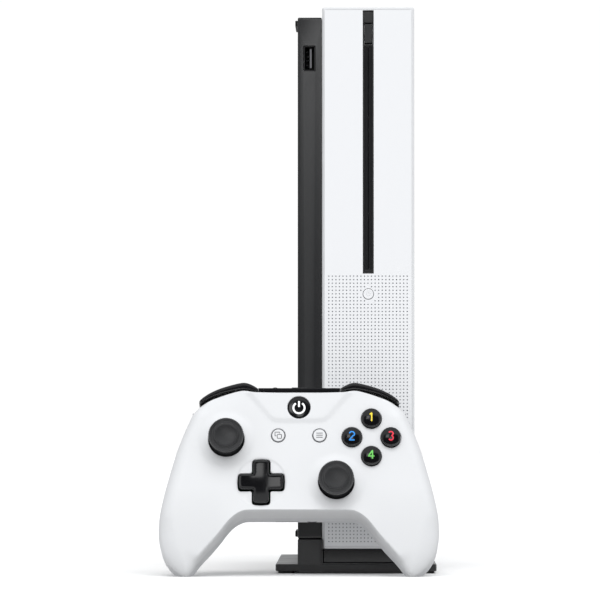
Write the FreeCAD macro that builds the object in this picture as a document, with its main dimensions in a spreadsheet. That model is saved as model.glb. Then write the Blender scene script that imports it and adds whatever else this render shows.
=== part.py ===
import FreeCAD, Part
import math
import os
import re

import Sketcher
from FreeCAD import Placement, Rotation, Vector

# A slim home game console standing on edge in its upright stand, with its
# wireless controller propped in front, the grips on the floor and the right
# trigger leaning on the console's front.
#
# Row frame, millimetres: +X to the right, +Y away from the player, +Z up, floor
# at z = 0. The origin is on the floor, in the middle of the footprint, which is
# also the controller's plane of symmetry.
#
# The controller is drawn upright in a frame of its own: x to the right, y into
# the controller from its face (buttons stand out towards -y), z up from the tips
# of the grips. controller_stance() then leans it back against the console.

DIMS = {
    # console, standing on edge: width is its flat height, height its long side
    "console_x": 30.5,  # middle of the console
    "console_y": -80.0,  # front face of the console
    "console_z": 13.4,  # underside of the light cover, on the stand
    "console_width": 63.5,
    "console_depth": 230.0,
    "console_height": 295.0,
    "base_width": 13.2,  # the dark base's share of the width
    "base_inset": 5.5,  # the dark base is shorter than the cover at each end
    "base_setback": 1.0,  # and set back from it at front and rear
    "cover_wall": 2.2,
    "base_wall": 2.0,
    "panel_border": 1.3,  # rim of the cover round the front panel
    "panel_thick": 3.0,
    "edge_round": 0.8,
    "slot_x": 6.7,  # slot and power button, right of the console's middle
    "slot_wide": 6.0,
    "slot_long": 144.0,
    "slot_top": 1.3,  # below the top of the console
    "slit_wide": 1.8,
    "slit_long": 121.0,
    "bezel_recess": 1.3,
    "eject_long": 10.4,
    "eject_wide": 4.3,
    "eject_drop": 9.1,  # top of the eject button below the top of the console
    "power_radius": 2.8,
    "power_height": 138.6,  # above the console's underside
    "usb_long": 14.0,
    "usb_wide": 6.7,
    "usb_top": 10.0,  # below the top of the console base's front
    "pairing_height": 28.0,
    "pairing_radius": 2.2,
    "button_gap": 0.3,
    # stand
    "stand_width": 87.6,
    "stand_depth": 186.0,
    "stand_lead": 2.0,  # how far it reaches in front of the console
    "plate_low": 1.3,
    "plate_high": 5.1,
    "core_high": 5.7,
    "block_high": 18.55,
    "block_wide": 13.7,
    "ledge_gap": 0.05,  # between the block's front ledge and the light cover
    "pad_long": 24.0,
    "pad_wide": 8.5,
    # controller, in its own frame
    "pad_width": 149.6,
    "lean": 16.0,
    "stance_y": -149.4,  # row y of the controller frame's origin
    "stance_z": 7.04,  # row z of the controller frame's origin
    "seam_y": 13.0,
    "rear_y": 30.0,
    "grip_y": 39.0,
    "shell_wall": 2.1,
    "stick_x": 38.7,
    "stick_z": 68.6,
    "low_x": 20.0,
    "low_z": 45.1,
    "stick_hole": 9.7,
    "stick_pivot": 8.9,
    "stick_top": 10.5,
    "cap_radius": 9.4,
    "dome_radius": 11.5,
    "face_z": 70.0,
    "face_reach": 10.4,
    "face_radius": 5.25,
    "guide_z": 86.3,
    "guide_radius": 5.95,
    "menu_x": 11.0,
    "menu_z": 70.9,
    "menu_radius": 3.6,
    "cross_reach": 12.2,
    "cross_half": 4.45,
    "dish_radius": 13.2,
    "board_y": 13.4,
    "board_thick": 1.2,
    "bridge_half": 21.3,
    "bridge_top": 101.1,
    "bumper_front": 4.5,
    "bumper_deep": 13.0,
    "trigger_pivot_y": 19.5,
    "trigger_pivot_z": 86.0,
    "trigger_x": 27.5,
    "trigger_wide": 27.0,
    "cell_radius": 7.1,
    "cell_long": 50.0,
}

doc = FreeCAD.newDocument("console_and_controller")
sheet = doc.addObject("Spreadsheet::Sheet", "Dims")
for line, (alias, value) in enumerate(DIMS.items(), 1):
    sheet.set(f"A{line}", alias)
    sheet.set(f"B{line}", str(value))
    sheet.setAlias(f"B{line}", alias)
doc.recompute()

NODES = {}  # node name -> document object
AXES = {"x": Vector(1, 0, 0), "y": Vector(0, 1, 0), "z": Vector(0, 0, 1)}


def dim(alias):
    """A driving dimension, read from the sheet."""
    return float(sheet.get(alias))


def bound(text):
    """An expression in which each alias names its cell of the sheet."""
    return re.sub(r"[a-z_]+", lambda word: "Dims." + word.group(), str(text))


def bind(item, path, text):
    item.setExpression(path, bound(text))


# ---- building blocks -------------------------------------------------------


def block(name, x, y, z, long_x, long_y, long_z):
    """A box from its lowest corner; every value is an expression in the sheet's names."""
    item = doc.addObject("Part::Box", name)
    for path, text in zip(("Length", "Width", "Height"), (long_x, long_y, long_z)):
        bind(item, path, text)
    for axis, text in zip("xyz", (x, y, z)):
        bind(item, "Placement.Base." + axis, text)
    return item


def rod(name, x, y, z, radius, long, axis):
    """A cylinder that starts at a point and runs along +x, +y or +z."""
    item = doc.addObject("Part::Cylinder", name)
    item.Placement = Placement(Vector(), Rotation(AXES["z"], AXES[axis]))
    bind(item, "Radius", radius)
    bind(item, "Height", long)
    for letter, text in zip("xyz", (x, y, z)):
        bind(item, "Placement.Base." + letter, text)
    return item


def union(name, parts):
    if len(parts) == 1:
        return parts[0]
    item = doc.addObject("Part::MultiFuse", name)
    item.Shapes = parts
    return item


def minus(name, base, tools):
    item = doc.addObject("Part::Cut", name)
    item.Base = base
    item.Tool = union(name + "_tools", tools)
    return item


def group(name, parts):
    """Separate solids that share one node."""
    item = doc.addObject("Part::Compound", name)
    item.Links = parts
    return item


def rounded(name, base, radius, wanted):
    """Rounds the edges of a base that wanted(edge) picks."""
    doc.recompute()
    item = doc.addObject("Part::Fillet", name)
    item.Base = base
    size = dim(radius) if isinstance(radius, str) else radius
    edges = enumerate(base.Shape.Edges, 1)
    item.Edges = [(i, size, size) for i, edge in edges if wanted(edge)]
    return item


def along(axis):
    """Picks straight edges that run along one axis."""

    def wanted(edge):
        if edge.Curve.TypeId != "Part::GeomLine":
            return False
        return abs(abs(edge.Curve.Direction.dot(AXES[axis])) - 1) < 1e-6

    return wanted


def flat_sketch(body, plane, curves, offset=0.0):
    """A sketch of closed curves on one of a body's origin planes."""
    sketch = body.newObject("Sketcher::SketchObject", body.Name + "_sketch")
    support = [f for f in body.Origin.OriginFeatures if f.Role == plane + "_Plane"]
    sketch.AttachmentSupport = [(support[0], "")]
    sketch.MapMode = "FlatFace"
    sketch.AttachmentOffset = Placement(Vector(0, 0, offset), Rotation())
    for curve in curves:
        sketch.addGeometry(curve, False)
    return sketch


def polygon(points):
    """Line segments through points in a sketch's own two axes, closed."""
    corners = [Vector(p[0], p[1], 0) for p in points]
    return [Part.LineSegment(a, b) for a, b in zip(corners, corners[1:] + corners[:1])]


def turned(name, profile, x, z):
    """A body turned about a line along y through (x, z); profile points are (radius, y)."""
    body = doc.addObject("PartDesign::Body", name)
    sketch = flat_sketch(body, "XY", polygon(profile))
    spin = body.newObject("PartDesign::Revolution", name + "_turn")
    spin.Profile = sketch
    spin.ReferenceAxis = (sketch, ["V_Axis"])
    spin.Angle = 360
    bind(body, "Placement.Base.x", x)
    bind(body, "Placement.Base.z", z)
    return body


def padded(name, plane, curves, start, long):
    """A body extruded from a sketch on XZ (towards +y), YZ (+x) or XY (+z)."""
    body = doc.addObject("PartDesign::Body", name)
    flip = -1 if plane == "XZ" else 1
    sketch = flat_sketch(body, plane, curves, flip * start)
    pad = body.newObject("PartDesign::Pad", name + "_pad")
    pad.Profile = sketch
    pad.Reversed = plane == "XZ"
    bind(pad, "Length", long)
    return body


def soften(body, radius, wanted):
    """Rounds edges of a body's tip with a PartDesign fillet."""
    doc.recompute()
    tip = body.Tip
    names = [f"Edge{i}" for i, e in enumerate(tip.Shape.Edges, 1) if wanted(e)]
    fillet = body.newObject("PartDesign::Fillet", body.Name + "_fillet")
    fillet.Base = (tip, names)
    fillet.Radius = radius
    return body


def keep(label, item):
    """Makes an object a node of the row."""
    item.Label = label
    NODES[label] = item
    return item


def controller_stance():
    """The controller frame's place in the row: leaned back about its grips."""
    rotation = Rotation(AXES["x"], -dim("lean"))
    return Placement(Vector(0, dim("stance_y"), dim("stance_z")), rotation)


def keep_leaned(label, *parts):
    """Makes a controller piece a node, carried from the controller's frame to the row's."""
    item = group(label + "_stance", list(parts))
    item.Placement = controller_stance()
    return keep(label, item)


# ---- console: casing -------------------------------------------------------

LEFT = "console_x - console_width / 2"
SPLIT = LEFT + " + base_width"
RIGHT = "console_x + console_width / 2"
TOP = "console_z + console_height"
COVER_WIDE = "console_width - base_width"
SLOT_X = "console_x + slot_x"
HUB_Y = "console_y + console_depth - 84"  # the fan's axis
HUB_Z = "console_z + 75"


def front_view_hole(name, x, z, radius, y="console_y - 1", long="20"):
    return rod(name, x, y, z, radius, long, "y")


def build_top_cover():
    """The light cover: right wall with its round vent, top, bottom and front rim."""
    outer = block("cover_outer", SPLIT, "console_y", "console_z",
                  COVER_WIDE, "console_depth", "console_height")
    soft = rounded("cover_soft", outer, "edge_round", edge_at_right)
    hollow = block("cover_hollow", SPLIT + " - 1", "console_y + panel_thick",
                   "console_z + cover_wall", COVER_WIDE + " - cover_wall + 1",
                   "console_depth", "console_height - 2 * cover_wall")
    recess = block("cover_recess", SPLIT + " + panel_border", "console_y - 1",
                   "console_z + panel_border", COVER_WIDE + " - 2 * panel_border",
                   "panel_thick + 1", "console_height - 2 * panel_border")
    slots = []
    for step in range(-5, 6):
        half = math.sqrt(48.0 ** 2 - (8.0 * step) ** 2)
        slots.append(block(f"vent_slot_{step + 5}", RIGHT + " - cover_wall - 1",
                           f"{HUB_Y} - {half}", f"{HUB_Z} + {8.0 * step - 1.5}",
                           "cover_wall + 2", f"{2 * half}", "3"))
    keep("top_cover", minus("cover", soft, [hollow, recess] + slots))


def edge_at_right(edge):
    """Edges of the cover's outer box on its right-hand face."""
    box = edge.BoundBox
    return box.XMin > dim("console_x") + dim("console_width") / 2 - 0.01


def build_front_panel():
    plate = block("panel_plate", SPLIT + " + panel_border", "console_y",
                  "console_z + panel_border", COVER_WIDE + " - 2 * panel_border",
                  "panel_thick", "console_height - 2 * panel_border")
    slot = block("panel_slot", SLOT_X + " - slot_wide / 2", "console_y - 1",
                 TOP + " - slot_top - slot_long", "slot_wide", "10", "slot_long - 0.3")
    hole = front_view_hole("panel_hole", SLOT_X, "console_z + power_height",
                           "power_radius + button_gap")
    keep("front_panel", minus("panel", plate, [slot, hole]))


def build_slot():
    """The dark bezel behind the slot, its felt lips and the eject button."""
    bezel = block("bezel_plate", SLOT_X + " - slot_wide / 2 - 1.5",
                  "console_y + panel_thick", TOP + " - slot_top - slot_long - 1",
                  "slot_wide + 3", "2", "slot_long + 0.05")
    raised = block("bezel_raised", SLOT_X + " - eject_wide / 2",
                   "console_y + bezel_recess", TOP + " - slot_top - slot_long + 0.4",
                   "eject_wide", "panel_thick - bezel_recess",
                   "slot_long - eject_drop - eject_long + slot_top - 1.2")
    brow = block("bezel_brow", SLOT_X + " - eject_wide / 2",
                 "console_y + bezel_recess", TOP + " - eject_drop + 0.3",
                 "eject_wide", "panel_thick - bezel_recess",
                 "eject_drop - slot_top - 1.0")
    slit = block("bezel_slit", SLOT_X + " - slit_wide / 2", "console_y",
                 TOP + " - slot_top - slot_long + 1.5", "slit_wide", "10", "slit_long")
    press = block("bezel_press", SLOT_X + " - eject_wide / 2 - button_gap",
                  "console_y", TOP + " - eject_drop - eject_long - button_gap",
                  "eject_wide + 2 * button_gap", "10", "eject_long + 2 * button_gap")
    whole = union("bezel_whole", [bezel, raised, brow])
    pierced = minus("bezel", whole, [slit, press])
    lips = []
    for side, start in (("left", "- slit_wide / 2"), ("right", "+ 0.15")):
        lips.append(block(f"lip_{side}", f"{SLOT_X} {start}", "console_y + bezel_recess + 0.4",
                          TOP + " - slot_top - slot_long + 1.5",
                          "slit_wide / 2 - 0.15", "0.9", "slit_long"))
    keep("slot_bezel", union("bezel_with_lips", [pierced] + lips))
    button = block("eject_block", SLOT_X + " - eject_wide / 2",
                   "console_y + bezel_recess - 0.4", TOP + " - eject_drop - eject_long",
                   "eject_wide", "4.5", "eject_long")
    keep("eject_button", rounded("eject", button, 0.35, front_edges(-0.6, "bezel_recess")))


def front_edges(shift, alias):
    """Edges within half a millimetre of a plane behind the console's front."""
    def wanted(edge):
        plane = dim("console_y") + dim(alias) + shift
        return edge.BoundBox.YMax < plane + 0.5
    return wanted


def build_console_buttons():
    power = rod("power_rod", SLOT_X, "console_y - 0.15", "console_z + power_height",
                "power_radius", "5.5", "y")
    keep("power_button", rounded("power", power, 0.3, front_edges(0.1, "base_setback")))
    pairing = rod("pairing_rod", LEFT + " + base_width / 2",
                  "console_y + base_setback - 0.5", "console_z + pairing_height",
                  "pairing_radius", "5", "y")
    keep("pairing_button", rounded("pairing", pairing, 0.4, front_edges(0, "base_setback")))


def build_base_cover():
    """The dark base: left wall, front, rear, top and bottom, open to the light cover."""
    outer = block("base_outer", LEFT, "console_y + base_setback", "console_z + base_inset",
                  "base_width", "console_depth - 2 * base_setback",
                  "console_height - 2 * base_inset")
    hollow = block("base_hollow", LEFT + " + base_wall",
                   "console_y + base_setback + base_wall",
                   "console_z + base_inset + base_wall", "base_width",
                   "console_depth - 2 * base_setback - 2 * base_wall",
                   "console_height - 2 * base_inset - 2 * base_wall")
    port = block("base_port", LEFT + " + base_width / 2 - usb_wide / 2 - 0.25",
                 "console_y - 1", TOP + " - base_inset - usb_top - usb_long - 5.3",
                 "usb_wide", "10", "usb_long")
    hole = front_view_hole("base_hole", LEFT + " + base_width / 2",
                           "console_z + pairing_height",
                           "pairing_radius + button_gap", long="6")
    soft = rounded("base_soft", outer, 0.6, edge_at_left)
    keep("base_cover", minus("base", soft, [hollow, port, hole]))


def edge_at_left(edge):
    """Edges of the base's outer box on its left-hand face."""
    return edge.BoundBox.XMax < dim("console_x") - dim("console_width") / 2 + 0.01


def build_front_usb():
    """A standing USB socket: plastic throat, metal sleeve and contact tongue."""
    x0 = LEFT + " + base_width / 2 - usb_wide / 2 - 0.25"
    z0 = TOP + " - base_inset - usb_top - usb_long - 5.3"
    sleeve = block("usb_sleeve", x0 + " + 0.3", "console_y + base_setback + 0.6",
                   z0 + " + 0.3", "usb_wide - 0.6", "13", "usb_long - 0.6")
    throat = block("usb_throat", x0 + " + 0.8", "console_y", z0 + " + 0.8",
                   "usb_wide - 1.6", "12.5", "usb_long - 1.6")
    tongue = block("usb_tongue", x0 + " + 3.6", "console_y + base_setback + 1.6",
                   z0 + " + 1.7", "1.7", "9.9", "usb_long - 3.4")
    pins = []
    for step in range(4):
        pins.append(block(f"usb_pin_{step}", x0 + " + 3.3", "console_y + base_setback + 2.2",
                          f"{z0} + {3.0 + 2.3 * step}", "0.3", "9.3", "1.1"))
    shell = minus("usb_shell", sleeve, [throat])
    keep("front_usb_port", group("front_usb", [shell, union("usb_core", [tongue] + pins)]))


def build_feet():
    feet = []
    for end, z in (("low", "console_z + 6.2"), ("high", TOP + " - 9.5")):
        for place, y in (("front", "console_y + 12"), ("rear", "console_y + 178")):
            foot = block(f"foot_{end}_{place}", LEFT + " - 1.45", y, z,
                         "1.45", "40", "3.2")
            feet.append(rounded(f"foot_{end}_{place}_soft", foot, 0.5, edge_at_foot))
    keep("console_feet", group("feet", feet))


def edge_at_foot(edge):
    """The outer edges of a rubber foot on the console's left-hand wall."""
    return edge.BoundBox.XMax < dim("console_x") - dim("console_width") / 2 - 1.4


PORTS = (  # name, height above the underside, long side, short side
    ("video_out", 144.0, 15.0, 5.6),
    ("video_in", 124.0, 15.0, 5.6),
    ("usb_a", 105.0, 13.1, 5.7),
    ("usb_b", 88.0, 13.1, 5.7),
    ("optical", 70.0, 9.0, 9.0),
    ("network", 46.0, 16.0, 13.0),
    ("power_inlet", 205.0, 18.0, 10.0),
)
PORT_X = 5.4  # left edge of every rear socket, on the main board's face


def build_rear():
    """The rear panel with its vents, and the sockets that stand in its openings."""
    plate = block("rear_plate", SPLIT + " + 0.2", "console_y + console_depth - 3",
                  "console_z + cover_wall + 0.2", COVER_WIDE + " - cover_wall - 0.4",
                  "2", "console_height - 2 * cover_wall - 0.4")
    openings, sockets = [], []
    for name, z, tall, wide in PORTS:
        x0 = f"{SPLIT} + {PORT_X}"
        z0 = f"console_z + {z - tall / 2}"
        openings.append(block(f"{name}_opening", f"{x0} - 0.2", "console_y + console_depth - 5",
                              f"{z0} - 0.2", f"{wide + 0.4}", "6", f"{tall + 0.4}"))
        body = block(f"{name}_body", x0, "console_y + console_depth - 15", z0,
                     f"{wide}", "14", f"{tall}")
        throat = block(f"{name}_throat", f"{x0} + 0.6", "console_y + console_depth - 12",
                       f"{z0} + 0.6", f"{wide - 1.2}", "20", f"{tall - 1.2}")
        sockets.append(minus(name, body, [throat]))
    for row in range(9):
        for column in range(2):
            openings.append(block(f"rear_vent_{row}_{column}", f"{SPLIT} + {6 + 21 * column}",
                                  "console_y + console_depth - 5",
                                  f"console_z + {225.0 + 6.6 * row}",
                                  "17", "6", "3.2"))
    keep("rear_panel", minus("rear", plate, openings))
    keep("rear_sockets", group("sockets", sockets))


# ---- console: inside -------------------------------------------------------


def build_chassis():
    """The steel tray that everything inside is screwed to, and its screws."""
    tray = block("tray", LEFT + " + 3", "console_y + 8", "console_z + 9",
                 "12", "console_depth - 26", "console_height - 18")
    room = block("tray_room", LEFT + " + 4", "console_y + 9", "console_z + 10",
                 "30", "console_depth - 28", "console_height - 20")
    bites = [
        block("tray_usb_bite", LEFT, "console_y", TOP + " - 45", "14", "20", "30"),
        block("tray_pair_bite", LEFT, "console_y", "console_z + 20", "18", "20", "16"),
    ]
    for row in range(6):
        for column in range(3):
            bites.append(rod(f"tray_hole_{row}_{column}", LEFT, f"console_y + {50 + 60 * column}",
                             f"console_z + {50 + 38 * row}", "7", "6", "x"))
    screws = []
    for y, z in ((20, 45), (20, 130), (20, 270), (200, 20), (200, 130), (120, 270)):
        place = (f"console_y + {y}", f"console_z + {z}")
        bites.append(rod(f"tray_bore_{y}_{z}", LEFT, *place, "1.5", "6", "x"))
        shank = rod(f"screw_shank_{y}_{z}", LEFT + " + 2", *place, "1.5", "2", "x")
        head = rod(f"screw_head_{y}_{z}", LEFT + " + 4", *place, "2.8", "1.8", "x")
        screws.append(union(f"screw_{y}_{z}", [shank, head]))
    keep("steel_chassis", minus("chassis", tray, [room] + bites))
    keep("chassis_screws", group("screws", screws))


def build_board():
    """Main board with its larger parts, and the heat sink on its processor."""
    board = block("board_plate", LEFT + " + 17", "console_y + 92", "console_z + 14",
                  "1.6", "console_depth - 96", "146")
    chips = []
    for step in range(6):
        chips.append(block(f"memory_{step}", LEFT + " + 18.6", "console_y + 96",
                           f"console_z + {30 + 20 * step}", "1.2", "9", "12"))
    for step in range(5):
        chips.append(rod(f"capacitor_{step}", LEFT + " + 18.6", f"console_y + {120 + 16 * step}",
                         "console_z + 24", "3.5", "9", "x"))
    chips.append(block("processor", LEFT + " + 18.6", "console_y + 129", "console_z + 58",
                       "2.4", "34", "34"))
    keep("main_board", union("board", [board] + chips))
    base = block("sink_base", LEFT + " + 21", "console_y + 106", "console_z + 35",
                 "4", "80", "80")
    fins = []
    for step in range(17):
        fins.append(block(f"fin_{step}", LEFT + " + 25", "console_y + 106",
                          f"console_z + {35 + 4.9 * step}", "9", "80", "1.2"))
    keep("heat_sink", union("sink", [base] + fins))


def build_fan():
    """A square-framed fan between the heat sink and the vent, blades pitched."""
    frame = block("fan_square", LEFT + " + 35", "console_y + 90", "console_z + 19",
                  "20", "112", "112")
    throat = rod("fan_throat", LEFT + " + 37", HUB_Y, HUB_Z, "52", "20", "x")
    mouth = rod("fan_inner_mouth", LEFT + " + 34", HUB_Y, HUB_Z, "44", "10", "x")
    spider = block("fan_spider", LEFT + " + 35", "console_y + 96", HUB_Z + " - 2",
                   "2", "100", "4")
    seat = rod("fan_seat", LEFT + " + 35", HUB_Y, HUB_Z, "14", "2", "x")
    bearing = rod("fan_bearing", LEFT + " + 34", HUB_Y, HUB_Z, "2.2", "10", "x")
    pierced = minus("fan_pierced", frame, [throat, mouth])
    keep("fan_frame", minus("fan_housing", union("fan_held", [pierced, spider, seat]), [bearing]))
    parts = [rod("fan_hub", LEFT + " + 38", HUB_Y, HUB_Z, "19", "14", "x"),
             rod("fan_axle", LEFT + " + 35.5", HUB_Y, HUB_Z, "1.8", "3", "x")]
    centre = Vector(dim("console_x") - dim("console_width") / 2 + 45,
                    dim("console_y") + dim("console_depth") - 84, dim("console_z") + 75)
    for step in range(9):
        blade = doc.addObject("Part::Box", f"blade_{step}")
        blade.Length, blade.Width, blade.Height = 12, 33, 1.6
        turn = Rotation(AXES["x"], 40 * step).multiply(Rotation(AXES["y"], 32))
        blade.Placement = Placement(centre, turn).multiply(
            Placement(Vector(-6, 17, -0.8), Rotation()))
        parts.append(blade)
    keep("fan_rotor", union("rotor", parts))


def build_supplies():
    """Power supply and hard drive, in the upper half behind the disc drive."""
    supply = block("supply_case", LEFT + " + 5", "console_y + 128", "console_z + 166",
                   "21", "81", "118")
    slots = [block(f"supply_slot_{step}", LEFT + " + 25", "console_y + 136",
                   f"console_z + {176 + 12 * step}", "3", "66", "5")
             for step in range(8)]
    keep("power_supply", minus("supply", supply, slots))
    disk = block("disk_case", LEFT + " + 8", "console_y + 20", "console_z + 175",
                 "9.5", "100", "70")
    keep("hard_drive", rounded("disk", disk, 2.0, along("x")))


def build_disc_drive():
    """Slot-loading drive: case with its rails, feed roller, spindle and optical sled."""
    case = block("drive_outer", SLOT_X + " - 9", "console_y + 8", "console_z + 147",
                 "17", "184", "143")
    room = block("drive_room", SLOT_X + " - 8", "console_y + 9", "console_z + 148",
                 "15", "182", "141")
    slit_z = TOP + " - slot_top - slot_long + 1.5"
    mouth = block("drive_mouth", SLOT_X + " - 1.6", "console_y + 5", slit_z,
                  "3.2", "6", "slit_long + 0.5")
    hub = ("console_y + 92", slit_z + " + slit_long / 2")
    rails = [rod(f"rail_{side}", SLOT_X + " - 5", f"{hub[0]} {shift}", "console_z + 147.5",
                 "1.2", "142", "z") for side, shift in (("near", "- 17"), ("far", "+ 17"))]
    hollow = minus("drive_hollow", case, [room, mouth])
    keep("disc_drive_case", union("drive", [hollow] + rails))
    sleeve = rod("roller_sleeve", SLOT_X + " - 4.4", "console_y + 17", "console_z + 152",
                 "3.6", "122", "z")
    axle = rod("roller_axle", SLOT_X + " - 4.4", "console_y + 17", "console_z + 148.5",
               "1", "140", "z")
    keep("feed_roller", union("feed", [sleeve, axle]))
    table = rod("spindle_table", SLOT_X + " - 3.2", *hub, "12", "1.6", "x")
    cone = rod("spindle_cone", SLOT_X + " - 1.6", *hub, "7.4", "2.4", "x")
    motor = rod("spindle_motor", SLOT_X + " - 7.6", *hub, "10", "4.4", "x")
    keep("disc_spindle", union("spindle", [table, cone, motor]))
    sled = block("sled_block", SLOT_X + " - 7.5", hub[0] + " - 13", hub[1] + " - 36",
                 "5.2", "26", "20")
    lens = rod("sled_lens", SLOT_X + " - 2.3", hub[0], hub[1] + " - 24", "2.5", "1.2", "x")
    bar = block("sled_bar", SLOT_X + " - 6.8", hub[0] + " - 19.6", hub[1] + " - 32",
                "3.6", "39.2", "8")
    bores = [rod(f"sled_bore_{side}", SLOT_X + " - 5", f"{hub[0]} {shift}", hub[1] + " - 40",
                 "1.5", "30", "z") for side, shift in (("near", "- 17"), ("far", "+ 17"))]
    keep("optical_sled", minus("sled", union("sled_whole", [sled, lens, bar]), bores))


# ---- stand -----------------------------------------------------------------


def build_stand():
    y0 = "console_y - stand_lead"
    plate = block("stand_plate", "console_x - stand_width / 2", y0, "plate_low",
                  "stand_width", "stand_depth", "plate_high - plate_low")
    plate = rounded("stand_plate_soft", plate, 1.0, along("z"))
    core = block("stand_core", LEFT, y0, "0.3", "console_width", "stand_depth",
                 "core_high - 0.3")
    wall = block("stand_block", LEFT, y0, "0.3", "block_wide", "stand_depth",
                 "block_high - 0.3")
    room = block("stand_cover_room", SPLIT + " - ledge_gap", "console_y - ledge_gap",
                 "console_z - ledge_gap", "5", "stand_depth", "10")
    ribs = []
    for row in range(4):
        for column in range(2):
            ribs.append(block(f"stand_pocket_{row}_{column}",
                              f"{LEFT} + {4 + 28.5 * column}",
                              f"{y0} + {8 + 44 * row}", "-1",
                              "26", "34", "4.6"))
    whole = union("stand_whole", [plate, core, wall])
    keep("stand_base", minus("stand", whole, ribs + [room]))
    cradle = block("cradle_block", LEFT + " + block_wide", "console_y + 1", "core_high",
                   "console_width - block_wide", "stand_depth - 6", "console_z - core_high")
    keep("stand_cradle", rounded("cradle", cradle, 0.6, cradle_edges))
    pads = []
    for side, x in (("left", "console_x - stand_width / 2 + 1.35"),
                    ("right", "console_x + stand_width / 2 - 1.35 - pad_wide")):
        for end, y in (("front", y0 + " + 2"), ("rear", y0 + " + stand_depth - 2 - pad_long")):
            pads.append(block(f"pad_{side}_{end}", x, y, "0", "pad_wide", "pad_long",
                              "plate_low"))
    keep("stand_pads", group("pads", pads))


def cradle_edges(edge):
    """The cradle's lower front and side edges stay sharp; its top edges are softened."""
    return along("x")(edge) and edge.BoundBox.ZMin > dim("console_z") - 0.1


# ---- controller: shells ----------------------------------------------------

# Right half of the outline at the seam, (x, z) from the bottom middle round the
# grip to the top middle, for a controller OUTLINE_WIDTH wide.
OUTLINE_WIDTH = 149.6
OUTLINE = (
    (13.0, 28.5), (25.0, 28.5), (29.5, 28.1), (34.0, 25.6), (37.6, 22.0), (41.5, 17.2),
    (46.0, 12.3), (51.0, 7.0), (54.6, 2.4), (57.4, -1.6), (60.0, -3.6), (63.6, -2.2),
    (67.8, 1.2), (70.9, 4.9), (73.1, 9.6), (74.4, 15.2), (74.8, 22.1), (74.2, 30.2),
    (72.3, 39.9), (69.6, 50.5), (66.1, 63.0), (62.9, 72.0), (59.7, 79.8), (56.6, 86.0),
    (51.5, 90.2), (43.5, 93.6), (35.0, 96.2), (29.5, 97.1), (24.0, 96.1), (12.0, 95.7),
)
# The part of that outline that a grip panel follows, then its way back inside.
GRIP_OUTLINE = (
    (46.0, 12.3), (51.0, 7.0), (54.6, 2.4), (57.4, -1.6), (60.0, -3.6), (63.6, -2.2),
    (67.8, 1.2), (70.9, 4.9), (73.1, 9.6), (74.4, 15.2), (74.8, 22.1), (74.2, 30.2),
    (72.3, 39.9), (69.6, 50.5), (66.8, 59.5), (62.2, 64.5), (56.8, 63.0), (51.5, 55.0),
    (46.8, 44.0), (43.4, 33.0), (42.0, 23.5), (43.0, 16.8),
)


def closed_outline(right_half):
    """Both halves of a symmetric outline, from the bottom middle, anticlockwise."""
    bottom, top = (0.0, right_half[0][1]), (0.0, right_half[-1][1])
    left_half = [(-x, z) for x, z in reversed(right_half)]
    return [bottom, *right_half, top, *left_half]


def smooth_closed(points):
    """One smooth closed curve through points of a sketch plane."""
    curve = Part.BSplineCurve()
    curve.interpolate([Vector(x, z, 0) for x, z in points], PeriodicFlag=True)
    return curve


def inset_points(points, inset, lift):
    """A smooth outline moved inwards, loops dropped; lift raises the grip tips."""
    stretch = dim("pad_width") / OUTLINE_WIDTH
    outline = smooth_closed([(x * stretch, z) for x, z in points])
    count = 360
    rim = []
    for step in range(count):
        at = outline.FirstParameter + outline.LastParameter * step / count
        rim.append((outline.value(at), outline.tangent(at)[0]))
    moved = []
    for spot, way in rim:
        inner = spot + Vector(-way.y, way.x, 0) * inset
        if all(inner.distanceToPoint(other) > inset - 0.05 for other, _ in rim):
            moved.append((inner.x, inner.y))
    run = [0.0]
    for a, b in zip(moved, moved[1:] + moved[:1]):
        run.append(run[-1] + math.hypot(b[0] - a[0], b[1] - a[1]))
    spaced = []
    wanted = 44
    for step in range(wanted):
        goal = run[-1] * step / wanted
        at = max(i for i in range(len(moved)) if run[i] <= goal + 1e-9)
        after = moved[(at + 1) % len(moved)]
        share = (goal - run[at]) / (run[at + 1] - run[at])
        x = moved[at][0] + (after[0] - moved[at][0]) * share
        z = moved[at][1] + (after[1] - moved[at][1]) * share
        spaced.append((x, z + lift * max(0.0, (18.0 - z) / 21.6) ** 2))
    return spaced


def section(name, points, inset, y, lift):
    """A sketch of one smooth closed curve on a plane at a depth behind the face."""
    sketch = doc.addObject("Sketcher::SketchObject", name)
    sketch.addGeometry(smooth_closed(inset_points(points, inset, lift)), False)
    sketch.Placement = Placement(Vector(0, y, 0), Rotation(AXES["x"], 90))
    return sketch


def lofted(name, points, steps):
    """A solid through sections of one outline; steps are (inset, depth, lift)."""
    item = doc.addObject("Part::Loft", name)
    item.Sections = [section(f"{name}_{i}", points, *step) for i, step in enumerate(steps)]
    item.Solid = True
    item.Ruled = True
    return item


def face_hole(name, x, z, radius):
    return rod(name, x, "-6", z, radius, "14", "y")


BUTTONS = (  # name, x, z from the middle of the diamond
    ("face_button_top", "0", "face_reach"),
    ("face_button_right", "face_reach", "0"),
    ("face_button_bottom", "0", "-face_reach"),
    ("face_button_left", "-face_reach", "0"),
)


def cross_points(reach, half):
    """The twelve corners of a plus sign, anticlockwise."""
    corner = [(reach, -half), (reach, half), (half, half)]
    points = []
    for turn in range(4):
        for a, b in corner:
            for _ in range(turn):
                a, b = -b, a
            points.append((a, b))
    return points


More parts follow.
